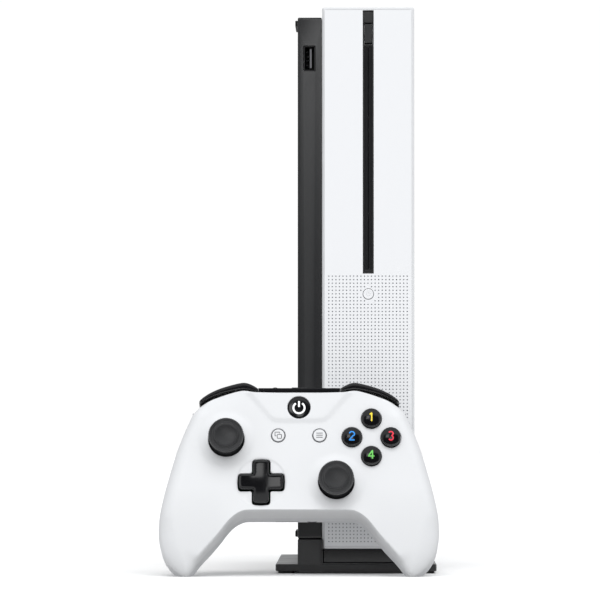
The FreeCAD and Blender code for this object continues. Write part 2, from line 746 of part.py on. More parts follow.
def build_front_shell():
    outline = closed_outline(OUTLINE)
    seam, wall = dim("seam_y"), dim("shell_wall")
    outer = lofted("front_outer", outline,
                   [(6.4, 0, 0), (4.2, 0.6, 0), (2.4, 2.0, 0), (1.1, 4.4, 0), (0.3, 8, 0),
                    (0, seam, 0)])
    inner = lofted("front_inner", outline,
                   [(7.4, wall, 0), (4.6, 3.4, 0), (3.1, 6.0, 0), (wall + 0.2, 9.5, 0),
                    (wall, seam, 0), (wall, seam + 1, 0)])
    holes = [face_hole("hole_left_stick", "-stick_x", "stick_z", "stick_hole"),
             face_hole("hole_right_stick", "low_x", "low_z", "stick_hole"),
             face_hole("hole_guide", "0", "guide_z", "guide_radius + button_gap"),
             face_hole("hole_view", "-menu_x", "menu_z", "menu_radius + button_gap"),
             face_hole("hole_menu", "menu_x", "menu_z", "menu_radius + button_gap")]
    for name, x, z in BUTTONS:
        holes.append(face_hole("hole_" + name, f"stick_x + {x}", f"face_z + {z}",
                               "face_radius + button_gap"))
    gap = 1.1
    window = padded("hole_cross", "XZ",
                    polygon(cross_points(dim("cross_reach") + gap, dim("cross_half") + gap)),
                    -6.0, "14")
    bind(window, "Placement.Base.x", "-low_x")
    bind(window, "Placement.Base.z", "low_z")
    dish = rod("cross_dish", "-low_x", "-5", "low_z", "dish_radius", "5.7", "y")
    keep_leaned("front_shell", minus("front", outer, [inner, window, dish] + holes))


def spread_grip(sign):
    """A grip's outline, spread outwards wherever it follows the case's own outline."""
    middle, spread, on_case = (58.0, 28.0), 1.12, 15
    points = []
    for number, (x, z) in enumerate(GRIP_OUTLINE):
        grow = spread if number < on_case else 1.0
        points.append((sign * (middle[0] + (x - middle[0]) * grow),
                       middle[1] + (z - middle[1]) * grow))
    return points[::sign]


def build_rear_shell():
    """The back half: battery box, trigger bays with their brackets, open at the grips."""
    outline = closed_outline(OUTLINE)
    seam, wall, rear = dim("seam_y"), dim("shell_wall"), dim("rear_y")
    outer = lofted("rear_outer", outline,
                   [(0, seam, 0), (0.3, 17, 1.2), (1.0, 21, 2.0), (2.4, 25, 3.0),
                    (4.6, 28, 4.0), (7.6, rear, 5.0)])
    inner = lofted("rear_inner", outline,
                   [(wall, seam - 1, 0), (wall, seam, 0), (wall + 0.3, 16.6, 1.2),
                    (3.1, 20.4, 2.0), (4.6, 24.0, 3.0), (8.0, rear - wall, 5.0)])
    hollow = minus("rear_hollow", outer, [inner])
    bay = block("bay_outer", "-29", "seam_y + 2", "33", "58", "rear_y - seam_y - 3", "44")
    walled = union("rear_walled", [hollow, bay])
    cuts = [block("bay_room", "-27.5", "seam_y + 3.2", "34.5", "55", "30", "41")]
    brackets, bores = [], []
    for side, sign in (("left", -1), ("right", 1)):
        cuts.append(lofted(f"grip_room_{side}", spread_grip(sign),
                           [(0.9, 22, 0), (0.9, 50, 0)]))
        x0 = "trigger_x - 1" if sign > 0 else "-trigger_x - trigger_wide - 1"
        cuts.append(block(f"trigger_room_{side}", x0, "seam_y + 2", "68",
                          "trigger_wide + 2", "40", "40"))
        for end, shift in (("inner", "- 1"), ("outer", "+ trigger_wide - 1")):
            x = f"trigger_x {shift}" if sign > 0 else f"-(trigger_x {shift}) - 2"
            brackets.append(block(f"bracket_{side}_{end}", x, "seam_y + 2",
                                  "trigger_pivot_z - 7", "2", "8", "10.5"))
        bores.append(rod(f"bracket_bore_{side}", x0, "trigger_pivot_y", "trigger_pivot_z",
                         "1.4", "trigger_wide + 2", "x"))
    cuts.append(rod("jack_hole", "7", "20", "20", "3.2", "16", "z"))
    cuts.append(block("expansion_hole", "-13", "18.2", "20", "13", "3.6", "12.6"))
    pierced = minus("rear_pierced", walled, cuts)
    joined = union("rear_joined", [pierced] + brackets)
    keep_leaned("rear_shell", minus("rear_case", joined, bores))


def build_grip_panels():
    wall, grip = dim("shell_wall"), dim("grip_y")
    for side, sign in (("left", -1), ("right", 1)):
        points = [(sign * x, z) for x, z in GRIP_OUTLINE][::sign]
        outer = lofted(f"grip_{side}_outer", points,
                       [(1.5, 22.2, 2.2), (1.9, 27, 3.2), (3.0, 31.5, 4.2),
                        (4.8, 35.5, 5.2), (7.2, 38, 6.2), (9.6, grip, 7.0)])
        inner = lofted(f"grip_{side}_inner", points,
                       [(1.5 + wall, 21, 2.2), (1.5 + wall, 22.2, 2.2), (4.1, 27, 3.2),
                        (5.4, 31.0, 4.2), (7.4, 34.6, 5.2), (9.8, grip - wall, 6.4)])
        keep_leaned(f"{side}_grip_panel", minus(f"grip_{side}", outer, [inner]))


def build_battery_bay():
    plate = block("door_plate", "-27.3", "rear_y - 1.4", "34.7", "54.6", "4.8", "40.6")
    soft = rounded("door_soft", plate, 2.2, lambda e: e.BoundBox.YMin > dim("rear_y") + 3.3)
    inside = block("door_inside", "-25.5", "rear_y - 2", "36.5", "51", "3.2", "37")
    grooves = [block(f"door_groove_{step}", "-8", "rear_y + 2.9", f"{66 + 2.4 * step}",
                     "16", "2", "1") for step in range(3)]
    keep_leaned("battery_door", minus("door", soft, [inside] + grooves))
    cells = []
    for name, z, sign in (("low", 45.4, 1), ("high", 64.6, -1)):
        y = "seam_y + 3.4 + cell_radius"
        cell = rod(f"cell_{name}", "-cell_long / 2", y, f"{z}", "cell_radius",
                   "cell_long - 1.2", "x")
        nub_x = "cell_long / 2 - 1.2" if sign > 0 else "-cell_long / 2 - 1"
        nub = rod(f"nub_{name}", nub_x, y, f"{z}", "2.6", "1.2" if sign > 0 else "1", "x")
        cells.append(union(f"battery_{name}", [cell, nub]))
    keep_leaned("batteries", *cells)


# ---- controller: sticks, cross and buttons ---------------------------------


def on_sphere(radius, degrees):
    """A profile point on the dome of a stick, centred on the stick's pivot."""
    angle = math.radians(degrees)
    return radius * math.sin(angle), dim("stick_pivot") - radius * math.cos(angle)


def build_sticks():
    """Two-axis stick modules: open base, cross yoke, rocker, and the stick that clicks."""
    pivot, top = dim("stick_pivot"), -dim("stick_top")
    cap, dome = dim("cap_radius"), dim("dome_radius")
    profile = [(0, top + 1.4), (3.0, top + 1.2), (5.6, top + 0.4), (6.2, top),
               (cap - 0.7, top + 0.1), (cap, top + 0.8), (cap, top + 2.4),
               (cap - 1.4, top + 3.6), (4.4, top + 4.6), (3.6, top + 5.4)]
    profile += [on_sphere(dome, degrees) for degrees in (18.5, 30, 42, 54, 66)]
    profile += [on_sphere(dome - 0.8, degrees) for degrees in (66, 54, 42, 30, 19)]
    profile += [(1.6, pivot - dome + 1.0), (1.6, pivot + 3), (0, pivot + 3)]
    bases = []
    for side, x, z in (("left", "-stick_x", "stick_z"), ("right", "low_x", "low_z")):
        keep_leaned(f"{side}_stick", turned(f"{side}_stick_body", profile, x, z))
        rocker = block(f"{side}_rocker_block", f"{x} - 2.4", "stick_pivot - 2.1", f"{z} - 2.4",
                       "4.8", "4.2", "4.8")
        bore = rod(f"{side}_rocker_bore", x, "stick_pivot - 4", z, "1.95", "8", "y")
        keep_leaned(f"{side}_stick_rocker", minus(f"{side}_rocker", rocker, [bore]))
        yoke = block(f"{side}_yoke_block", f"{x} - 5.2", "stick_pivot - 2.1", f"{z} - 3.6",
                     "10.4", "4.2", "7.2")
        window = block(f"{side}_yoke_window", f"{x} - 3.3", "stick_pivot - 4", f"{z} - 2.6",
                       "6.6", "8", "5.2")
        keep_leaned(f"{side}_stick_yoke", minus(f"{side}_yoke", yoke, [window]))
        case = block(f"{side}_base_case", f"{x} - 6.3", "stick_pivot - 3.3", f"{z} - 6.3",
                     "12.6", "board_y - stick_pivot + 3.3", "12.6")
        room = block(f"{side}_base_room", f"{x} - 5.5", "stick_pivot - 6", f"{z} - 5.5",
                     "11", "board_y - stick_pivot + 5.6", "11")
        gauge = block(f"{side}_base_gauge", f"{x} + 6.3", "stick_pivot - 2.2", f"{z} - 3.5",
                      "2.5", "board_y - stick_pivot + 2.2", "7")
        cased = union(f"{side}_base_cased", [case, gauge])
        bases.append(minus(f"{side}_base", cased, [room]))
    keep_leaned("stick_bases", *bases)


def build_cross():
    """The direction pad, and the small gimbal between it and its post on the board."""
    reach, half = dim("cross_reach"), dim("cross_half")
    cross = padded("cross_body", "XZ", polygon(cross_points(reach, half)), -2.2, "5.9")
    bind(cross, "Placement.Base.x", "-low_x")
    bind(cross, "Placement.Base.z", "low_z")
    soften(cross, 1.0, lambda e: e.BoundBox.YMax < -2.1)
    flange = rod("cross_flange", "-low_x", "3.5", "low_z", "10.4", "1.2", "y")
    keep_leaned("direction_pad", union("cross_whole", [cross, flange]))
    ring = block("gimbal_block", "-low_x - 2", "5.1", "low_z - 2", "4", "2.4", "4")
    keep_leaned("direction_pad_pivot", ring)


def build_buttons():
    """Domed buttons with a flange under the shell that stops them from falling out.

    The guide button's flange is cut flat above, where the shell curves back.
    """
    radius = dim("face_radius")
    shape = [(0, -2.9), (2.2, -2.75), (3.8, -2.3), (4.8, -1.6), (radius, -0.7), (radius, 2.6),
             (radius + 1, 2.6), (radius + 1, 3.8), (0, 3.8)]
    for name, x, z in BUTTONS:
        keep_leaned(name, turned(name + "_body", shape, f"stick_x + {x}", f"face_z + {z}"))
    wide = dim("guide_radius")
    guide = [(0, -0.9), (3.4, -0.75), (wide - 0.4, -0.25), (wide, 0.2), (wide, 2.6),
             (wide + 1, 2.6), (wide + 1, 3.6), (0, 3.6)]
    whole = turned("guide_body", guide, "0", "guide_z")
    above = block("guide_trim", "-8", "2.6", "guide_z + 3.2", "16", "2", "6")
    keep_leaned("guide_button", minus("guide_flat", whole, [above]))
    small = dim("menu_radius")
    little = [(0, -0.7), (small - 0.4, -0.55), (small, -0.2), (small, 2.6), (small + 0.8, 2.6),
              (small + 0.8, 3.6), (0, 3.6)]
    for name, x in (("view_button", "-menu_x"), ("menu_button", "menu_x")):
        keep_leaned(name, turned(name + "_body", little, x, "menu_z"))


# ---- controller: top edge --------------------------------------------------

BUMPER_TOP = ((22.0, 98.6), (24.8, 100.4), (28.2, 101.8), (31.5, 101.8), (37.8, 100.2),
              (43.4, 98.3), (48.6, 95.7), (52.3, 93.0), (54.2, 90.8))
BUMPER_UNDER = ((52.8, 90.6), (43.6, 95.0), (33.8, 97.5), (28.2, 97.9), (22.0, 96.7))


# What is cut off the bridge's front top edge, (y, z).
BRIDGE_SLANT = ((4.0, 98.6), (13.0, 101.1), (13.0, 103.0), (4.0, 103.0))


def build_bumpers():
    bridge = block("bridge_bar", "-bridge_half", "bumper_front", "96.3",
                   "2 * bridge_half", "bumper_deep", "bridge_top - 96.3")
    port = block("bridge_port", "-4.2", "bumper_front + 6", "90",
                 "8.4", "3.4", "20")
    hole = rod("bridge_hole", "-13", "bumper_front + 7.7", "90",
               "1.9", "20", "z")
    slant = padded("bridge_slant", "YZ", polygon(BRIDGE_SLANT), 0.0, "2 * bridge_half + 2")
    bind(slant, "Placement.Base.x", "-bridge_half - 1")
    keep_leaned("top_bridge", minus("bridge", bridge, [port, hole, slant]))
    pair = rod("pair_rod", "-13", "bumper_front + 7.7", "97.5", "1.6", "4.1", "z")
    keep_leaned("pair_button", pair)
    for side, sign in (("left", -1), ("right", 1)):
        ring = [(sign * x, z) for x, z in BUMPER_TOP + BUMPER_UNDER]
        body = padded(f"{side}_bumper_body", "XZ", polygon(ring), dim("bumper_front"),
                      "bumper_deep")
        keep_leaned(f"{side}_bumper", body)


TRIGGER_SIDE = (  # (y, z): the blade's back, its tip, and its hollow underside
    (20.5, 92.5), (23.5, 95.2), (29.0, 96.5), (36.0, 95.2), (42.5, 91.5), (47.0, 86.0),
    (49.0, 79.5), (48.2, 75.0), (45.6, 76.2), (43.4, 81.0), (38.5, 85.2), (31.0, 86.0),
    (24.5, 83.0), (19.5, 81.5), (16.5, 83.5), (16.5, 88.0),
)


def build_triggers():
    pins = []
    for side, x in (("left", "-trigger_x - trigger_wide"), ("right", "trigger_x")):
        body = padded(f"{side}_trigger_body", "YZ", polygon(TRIGGER_SIDE), 0.0,
                      "trigger_wide - 3")
        bind(body, "Placement.Base.x", x + " + 1.5")
        bore = rod(f"{side}_trigger_bore", x, "trigger_pivot_y", "trigger_pivot_z",
                   "1.75", "trigger_wide", "x")
        soften(body, 1.2, trigger_rim)
        keep_leaned(f"{side}_trigger", minus(f"{side}_trigger_cut", body, [bore]))
        pins.append(rod(f"{side}_trigger_pin", x + " - 1", "trigger_pivot_y",
                        "trigger_pivot_z", "1.4", "trigger_wide + 2", "x"))
    keep_leaned("trigger_pins", *pins)


def trigger_rim(edge):
    """The edges of a trigger's two side faces along its back and tip."""
    box = edge.BoundBox
    return box.XLength < 0.01 and box.YMin > 22 and box.ZMax > 78 and box.ZMin > 74.5 and (
        box.YMin > 44 or box.ZMin > 91)


# ---- controller: inside ----------------------------------------------------


def connector(name, outer, throat):
    """A metal socket: a box with a box-shaped mouth; each is (x, y, z, sizes)."""
    return minus(name, block(name + "_sleeve", *outer), [block(name + "_throat", *throat)])


def build_controller_board():
    """The board, its soldered sockets, and the rubber domes under the buttons."""
    plate = block("pad_plate", "-50", "board_y", "36", "100", "board_thick", "54")
    corners = [block(f"pad_corner_{n}", x, "board_y - 1", "30", "10", "4", "16")
               for n, x in (("left", "-53"), ("right", "43"))]
    corners += [block(f"pad_shoulder_{n}", x, "board_y - 1", "83", "7", "4", "8")
                for n, x in (("left", "-52"), ("right", "45"))]
    board = minus("pad_board", plate, corners)
    jack = rod("jack_barrel", "7", "20", "28.9", "3", "4.6", "z")
    bore = rod("jack_bore", "7", "20", "25", "1.78", "20", "z")
    post = rod("gimbal_post", "-low_x", "8", "low_z", "2", "board_y - 8", "y")
    sockets = [
        minus("jack", jack, [bore]),
        connector("expansion", ("-12.7", "18.5", "28.9", "12.4", "3", "3.8"),
                  ("-12", "19.1", "26", "11", "1.8", "5")),
        connector("charge", ("-4", "bumper_front + 6.2", "96.8", "8", "3", "3.9"),
                  ("-3.5", "bumper_front + 6.6", "97.8", "7", "2.2", "6")),
    ]
    keep_leaned("controller_board", union("pad_board_and_post", [board, post]), *sockets)
    domes = [rod("dome_guide", "0", "5", "guide_z", "3.4", "board_y - 5", "y"),
             rod("dome_view", "-menu_x", "5", "menu_z", "2.4", "board_y - 5", "y"),
             rod("dome_menu", "menu_x", "5", "menu_z", "2.4", "board_y - 5", "y")]
    for name, x, z in BUTTONS:
        domes.append(rod(f"dome_{name}", f"stick_x + {x}", "5.6", f"face_z + {z}",
                         "3.8", "board_y - 5.6", "y"))
    for end, x, z in (("up", "0", "8"), ("down", "0", "-8"), ("in", "8", "0"), ("out", "-8", "0")):
        domes.append(rod(f"dome_{end}", f"-low_x + {x}", "6.2", f"low_z + {z}",
                         "1.8", "board_y - 6.2", "y"))
    keep_leaned("rubber_domes", *domes)


def build_rumble():
    """Two rumble motors in the grips, each with a half-round weight hanging plumb."""
    motors = []
    lean = math.radians(dim("lean"))
    rim = [(8.0 * math.cos(math.radians(a)), -8.0 * math.sin(math.radians(a)))
           for a in range(0, 181, 20)]
    hanging = [(22 + y * math.cos(lean) - z * math.sin(lean),
                30 + y * math.sin(lean) + z * math.cos(lean)) for y, z in rim]
    for side, sign in (("left", -1), ("right", 1)):
        start = "49" if sign > 0 else "-60"
        motors.append(rod(f"{side}_motor", start, "22", "30", "7", "11", "x"))
        weight = padded(f"{side}_weight_body", "YZ", polygon(hanging), 0.0, "6")
        bind(weight, "Placement.Base.x", "60.7" if sign > 0 else "-66.7")
        keep_leaned(f"{side}_rumble_weight", weight)
    keep_leaned("rumble_motors", *motors)


BUILDERS = (
    build_top_cover, build_front_panel, build_slot, build_console_buttons, build_base_cover,
    build_front_usb, build_feet, build_rear, build_chassis, build_board, build_supplies,
    build_fan, build_disc_drive, build_stand, build_front_shell, build_rear_shell, build_grip_panels,
    build_battery_bay, build_sticks, build_cross, build_buttons, build_bumpers, build_triggers,
    build_controller_board, build_rumble,
)


def check_and_write():
    """Stops on a failed object or a bad shape, then writes one STEP file per node."""
    doc.recompute()
    failed = [o.Label for o in doc.Objects if {"Invalid", "Error"} & set(o.State)]
    if failed:
        raise SystemExit(f"these objects failed: {failed}")
    os.makedirs("parts", exist_ok=True)
    for old in os.listdir("parts"):
        os.remove(os.path.join("parts", old))
    whole = FreeCAD.BoundBox()
    for label, item in NODES.items():
        shape = item.Shape
        if shape.isNull() or not shape.isValid() or not shape.Solids:
            raise SystemExit(f"{label} has no valid solid")
        whole.add(shape.BoundBox)
        shape.exportStep(f"parts/{label}.step")
    print(len(NODES), "nodes;", whole)


for build in BUILDERS:
    build()
check_and_write()
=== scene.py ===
import math

import bmesh
import bpy
import numpy as np
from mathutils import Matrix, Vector
from mathutils.geometry import delaunay_2d_cdt


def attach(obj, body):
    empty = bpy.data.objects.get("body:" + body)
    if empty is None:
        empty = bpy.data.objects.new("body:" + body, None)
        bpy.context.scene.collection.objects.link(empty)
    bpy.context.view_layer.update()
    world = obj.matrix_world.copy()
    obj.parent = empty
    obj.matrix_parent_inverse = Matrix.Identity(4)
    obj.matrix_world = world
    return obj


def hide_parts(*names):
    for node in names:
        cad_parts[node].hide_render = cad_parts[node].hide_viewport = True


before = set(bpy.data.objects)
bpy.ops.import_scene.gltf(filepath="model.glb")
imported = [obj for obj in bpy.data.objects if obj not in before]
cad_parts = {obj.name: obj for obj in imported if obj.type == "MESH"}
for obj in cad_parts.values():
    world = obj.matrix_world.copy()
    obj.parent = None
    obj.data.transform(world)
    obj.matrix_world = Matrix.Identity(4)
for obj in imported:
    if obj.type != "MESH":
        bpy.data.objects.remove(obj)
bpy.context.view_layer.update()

# A slim home console on edge in its stand, with its controller leaning back in
# front of it. All sizes are millimetres. Console pieces are drawn in the row's own
# axes. Controller pieces are drawn upright, with x to the right, y going in from
# the face and z up, and leaned() then stands them in the row.

MM = 0.001
LEAN = math.radians(16.0)
STANCE_Y = -149.4
STANCE_Z = 7.04

# console
LEFT, SPLIT, RIGHT = -1.25, 12.0, 62.25
FRONT, REAR = -80.0, 150.0
BOTTOM, TOP = 13.4, 308.4
SLOT_X = 37.2
SOCKET_X0, SOCKET_X1 = 2.1, 8.1
SOCKET_Z0, SOCKET_Z1 = 273.9, 287.3
EJECT_LOW, EJECT_HIGH = 288.9, 299.3
DOT_PITCH_X, DOT_PITCH_Z = 1.94, 1.925
DOT_ROWS, DOT_TOP = 77, 161.7
DOT_RADIUS = 0.42
POWER_Z, POWER_RADIUS = 152.0, 2.8
PAIRING_X, PAIRING_Z, PAIRING_RADIUS = 5.4, 41.4, 2.2
VENT_Y, VENT_Z, VENT_RADIUS = 66.0, 88.4, 48.0

# controller
SEAM = 13.0
FRONT_WALL, REAR_WALL = 1.7, 1.8
STICKS = {"left": (-38.7, 68.6), "right": (20.0, 45.1)}
STICK_HOLE = 9.7
STICK_PIVOT = 8.9
STICK_DOME, STICK_HOLLOW = 11.4, 10.7
CROSS = (-20.0, 45.1)
CROSS_REACH, CROSS_HALF = 12.2, 4.45
CROSS_GAP = 0.45
DISH_RADIUS = 13.2
FACE_CENTRE = (38.7, 70.0)
FACE_REACH, FACE_RADIUS = 10.4, 5.25
GUIDE_Z, GUIDE_RADIUS = 86.3, 5.95
MENU_X, MENU_Z, MENU_RADIUS = 11.0, 70.9, 3.6
GAP = 0.3

# Right half of the controller's outline at the seam, from the bottom middle round
# the grip to the top middle.
HALF_OUTLINE = (
    (13.0, 28.5), (25.0, 28.5), (29.5, 28.1), (34.0, 25.6), (37.6, 22.0), (41.5, 17.2),
    (46.0, 12.3), (51.0, 7.0), (54.6, 2.4), (57.4, -1.6), (60.0, -3.6), (63.6, -2.2),
    (67.8, 1.2), (70.9, 4.9), (73.1, 9.6), (74.4, 15.2), (74.8, 22.1), (74.2, 30.2),
    (72.3, 39.9), (69.6, 50.5), (66.1, 63.0), (62.9, 72.0), (59.7, 79.8), (56.6, 86.0),
    (51.5, 90.2), (43.5, 93.6), (35.0, 96.2), (29.5, 97.1), (24.0, 96.1), (12.0, 95.7),
)
# Where a grip panel leaves that outline and comes back to it.
GRIP_LINE = (
    (73.5, 53.0), (69.6, 56.5), (66.8, 59.5), (62.2, 64.5), (56.8, 63.0), (51.5, 55.0),
    (46.8, 44.0), (43.4, 33.0), (42.0, 23.5), (42.6, 16.8), (43.6, 12.0),
)
# The corners of a box round the whole face, and how far in from a shell's rim its
# loops of points lie: close together where the edge is round.
FACE_LOW, FACE_HIGH = (-76.0, -5.0), (76.0, 99.0)
STEPS_IN = (0.03, 0.12, 0.3, 0.6, 1.0, 1.6, 2.3, 3.2, 4.3, 5.6, 7.2, 9.0)
BUMPER_TOP = ((22.0, 98.6), (24.8, 100.4), (28.2, 101.8), (31.5, 101.8), (37.8, 100.2),
              (43.4, 98.3), (48.6, 95.7), (52.3, 93.0), (54.2, 90.8))
BUMPER_UNDER = ((22.0, 96.7), (28.2, 97.9), (33.8, 97.5), (43.6, 95.0), (52.8, 90.6))


# ---- placing ---------------------------------------------------------------


def in_row(points):
    return np.asarray(points, float) * MM


def leaned(points):
    """Upright controller millimetres to row metres."""
    x, y, z = np.asarray(points, float).T
    back = y * math.cos(LEAN) + z * math.sin(LEAN) + STANCE_Y
    up = z * math.cos(LEAN) - y * math.sin(LEAN) + STANCE_Z
    return np.stack((x, back, up), 1) * MM


def at_depth(flat, deep):
    """Flat (x, z) points stood up at a depth: one for all of them, or one for each."""
    return np.stack((flat[:, 0], np.full(len(flat), deep, float), flat[:, 1]), 1)


def behind(face):
    """Places (u, v, depth) behind a plane that looks to the front."""
    return lambda u, v, depth: (u, face + depth, v)


def linked(name, data):
    item = bpy.data.objects.new(name, data)
    bpy.context.scene.collection.objects.link(item)
    return item


class Form:
    """The points and faces of one piece, added shape by shape."""

    def __init__(self):
        self.points = []
        self.faces = []
        self.tints = []

    def add(self, shape, tint=0):
        points, faces = shape
        start = len(self.points)
        self.points.extend(tuple(map(float, point)) for point in points)
        self.faces.extend(tuple(int(corner) + start for corner in face) for face in faces)
        self.tints.extend([tint] * len(faces))
        return self


def piece(form, name, place, body, coats, nodes=(), crease=34.0):
    """Makes a form a piece of the row that rides a body and stands for some nodes."""
    mesh = bpy.data.meshes.new(name)
    mesh.from_pydata(place(form.points).tolist(), [], form.faces)
    for coat in coats:
        mesh.materials.append(coat)
    for face, tint in zip(mesh.polygons, form.tints):
        face.material_index = tint
    work = bmesh.new()
    work.from_mesh(mesh)
    bmesh.ops.remove_doubles(work, verts=work.verts, dist=5e-7)
    bmesh.ops.recalc_face_normals(work, faces=work.faces)
    work.to_mesh(mesh)
    work.free()
    mesh.shade_smooth()
    mesh.set_sharp_from_angle(angle=math.radians(crease))
    item = linked(name, mesh)
    flats = item.modifiers.new("flats stay flat", "WEIGHTED_NORMAL")
    flats.keep_sharp = True
    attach(item, body)
    if nodes:
        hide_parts(*nodes)
    return item


# ---- flat outlines ---------------------------------------------------------


def ease(value):
    value = np.clip(value, 0.0, 1.0)
    return value * value * (3.0 - 2.0 * value)


def rounding(gap, reach):
    """How far a round edge has fallen: 1 at the edge, 0 at reach from it."""
    share = 1.0 - np.clip(gap / reach, 0.0, 1.0)
    return 1.0 - np.sqrt(np.maximum(1.0 - share ** 2, 0.0))


def smooth(points, steps=10, closed=True):
    """A smooth curve through points, each stretch cut in equal steps."""
    points = np.asarray(points, float)
    count = len(points)
    found = []
    for at in range(count if closed else count - 1):
        if closed:
            before, here, after, last = (points[(at + k) % count] for k in (-1, 0, 1, 2))
        else:
            before, here = points[max(at - 1, 0)], points[at]
            after, last = points[at + 1], points[min(at + 2, count - 1)]
        for step in range(steps):
            t = step / steps
            found.append(0.5 * (2 * here + (after - before) * t
                                + (2 * before - 5 * here + 4 * after - last) * t ** 2
                                + (3 * here - before - 3 * after + last) * t ** 3))
    if not closed:
        found.append(points[-1])
    return np.array(found)


def run_along(line):
    """How far along a line each of its points is."""
    return np.concatenate(([0.0], np.cumsum(np.hypot(*np.diff(line, axis=0).T))))


def spaced(loop, gap):
    """A closed loop with its points an even gap apart."""
    ring = np.vstack((loop, loop[:1]))
    run = run_along(ring)
    count = int(round(run[-1] / gap))
    goals = np.arange(count) * run[-1] / count
    return np.stack([np.interp(goals, run, ring[:, axis]) for axis in (0, 1)], 1)


def circle(x, z, radius, count=56):
    turn = np.arange(count) * 2 * math.pi / count
    return np.stack((x + radius * np.cos(turn), z + radius * np.sin(turn)), 1)


def arc(x, z, radius, start, stop, count=24):
    turn = np.radians(np.linspace(start, stop, count))
    return np.stack((x + radius * np.cos(turn), z + radius * np.sin(turn)), 1)


def round_box(x0, x1, z0, z1, radius, count=5):
    """A rectangle with round corners, from its lower right corner anticlockwise."""
    middles = ((x1 - radius, z0 + radius), (x1 - radius, z1 - radius),
               (x0 + radius, z1 - radius), (x0 + radius, z0 + radius))
    return np.vstack([arc(x, z, radius, 90 * (number - 1), 90 * number, count)
                      for number, (x, z) in enumerate(middles)])


def cross_loop(reach, half, corner=1.5, inner=0.7, count=5):
    """The direction pad's outline round its own middle, its arm ends slightly bowed."""
    end = reach - corner - 0.25
    arm = np.vstack((arc(end, corner - half, corner, -90, 0, count), [(reach, 0.0)],
                     arc(end, half - corner, corner, 0, 90, count),
                     arc(half + inner, half + inner, inner, 270, 180, count)))
    found = []
    for turn in np.arange(4) * math.pi / 2:
        found.append(np.stack((arm[:, 0] * math.cos(turn) - arm[:, 1] * math.sin(turn),
                               arm[:, 0] * math.sin(turn) + arm[:, 1] * math.cos(turn)), 1))
    return np.vstack(found)


def inside(points, loop):
    """Which points lie inside a closed loop."""
    after = np.roll(loop, -1, 0)
    found = []
    for part in np.array_split(points, max(1, len(points) // 3000)):
        x, z = part[:, :1], part[:, 1:]
        spans = (loop[:, 1] > z) != (after[:, 1] > z)
        rise = np.where(after[:, 1] == loop[:, 1], 1.0, after[:, 1] - loop[:, 1])
        meets = loop[:, 0] + (z - loop[:, 1]) * (after[:, 0] - loop[:, 0]) / rise
        found.append(np.sum(spans & (x < meets), 1) % 2 == 1)
    return np.concatenate(found)


def region(outer, holes=()):
    """A test for points that lie inside an outline and outside its holes."""

    def test(points):
        found = inside(points, outer)
        for hole in holes:
            found &= ~inside(points, hole)
        return found

    return test


def gap_to(points, line, closed=True):
    """Each point's distance to the nearest stretch of a line."""
    starts = line if closed else line[:-1]
    ends = np.roll(line, -1, 0) if closed else line[1:]
    way = ends - starts
    size = np.maximum((way ** 2).sum(1), 1e-12)
    found = []
    for part in np.array_split(points, max(1, len(points) // 2000)):
        reach = part[:, None, :] - starts
        share = np.clip((reach * way).sum(2) / size, 0.0, 1.0)
        found.append(np.sqrt(((reach - share[:, :, None] * way) ** 2).sum(2)).min(1))
    return np.concatenate(found)


def left_of(line, closed=True):
    """Unit directions to the left of a line, at each of its points."""
    if closed:
        way = np.roll(line, -1, 0) - np.roll(line, 1, 0)
    else:
        way = np.gradient(line, axis=0)
    way /= np.maximum(np.hypot(*way.T), 1e-9)[:, None]
    return np.stack((-way[:, 1], way[:, 0]), 1)


def beside(loop, distance):
    """Points a set distance inside a closed anticlockwise loop, with no crossings."""
    moved = loop + left_of(loop) * distance
    return moved[gap_to(moved, loop) > abs(distance) * 0.97]


def apart(points, others, gap):
    """The points that are at least a gap away from every one of the others."""
    found = []
    for part in np.array_split(points, max(1, len(points) // 1500)):
        near = ((part[:, None, :] - others) ** 2).sum(2).min(1)
        found.append(part[near > gap * gap])
    return np.concatenate(found)


def grid(low, high, step):
    x, z = np.meshgrid(np.arange(low[0], high[0], step), np.arange(low[1], high[1], step))
    x = x + step / 2 * (np.arange(len(x)) % 2)[:, None]
    return np.stack((x.ravel(), z.ravel()), 1)


def triangles(loops, extra, keep, points=(), edges=()):
    """Triangles between closed loops, other edges and loose points, where keep() allows."""
    points, edges = list(points), list(edges)
    for loop in loops:
        start = len(points)
        points.extend(map(tuple, loop))
        edges.extend((start + k, start + (k + 1) % len(loop)) for k in range(len(loop)))
    points.extend(map(tuple, extra))
    out = delaunay_2d_cdt([Vector(p) for p in points], edges, [], 0, 1e-5)
    flat = np.array([tuple(p) for p in out[0]])
    faces = np.array([tuple(f) for f in out[2]])
    return flat, faces[keep(flat[faces].mean(1))]


# ---- solid shapes ----------------------------------------------------------


def thickened(points, faces, back):
    """A closed wall: a sheet, the same sheet moved by back, and the rim between."""
    count = len(points)
    ways = {(a, b) for face in faces for a, b in zip(face, np.roll(face, -1))}
    rims = [(b, a, a + count, b + count) for a, b in ways if (b, a) not in ways]
    inner = [tuple(corner + count for corner in face[::-1]) for face in faces]
    return np.vstack((points, points + back)), [tuple(f) for f in faces] + inner + rims


def facing(points, faces):
    """Outward unit normals of a sheet's points."""
    corner = points[faces]
    across = np.cross(corner[:, 1] - corner[:, 0], corner[:, 2] - corner[:, 0])
    found = np.zeros_like(points)
    for k in range(3):
        np.add.at(found, faces[:, k], across)
    return found / np.maximum(np.linalg.norm(found, axis=1), 1e-12)[:, None]


def rings(loops, cap_start=True, cap_end=True):
    """A skin through loops that have the same number of points."""
    count = len(loops[0])
    faces = []
    for layer in range(len(loops) - 1):
        base = layer * count
        for k in range(count):
            after = (k + 1) % count
            faces.append((base + k, base + after, base + count + after, base + count + k))
    if cap_start:
        faces.append(tuple(range(count))[::-1])
    if cap_end:
        faces.append(tuple(range(len(loops) * count - count, len(loops) * count)))
    return np.vstack(loops), faces


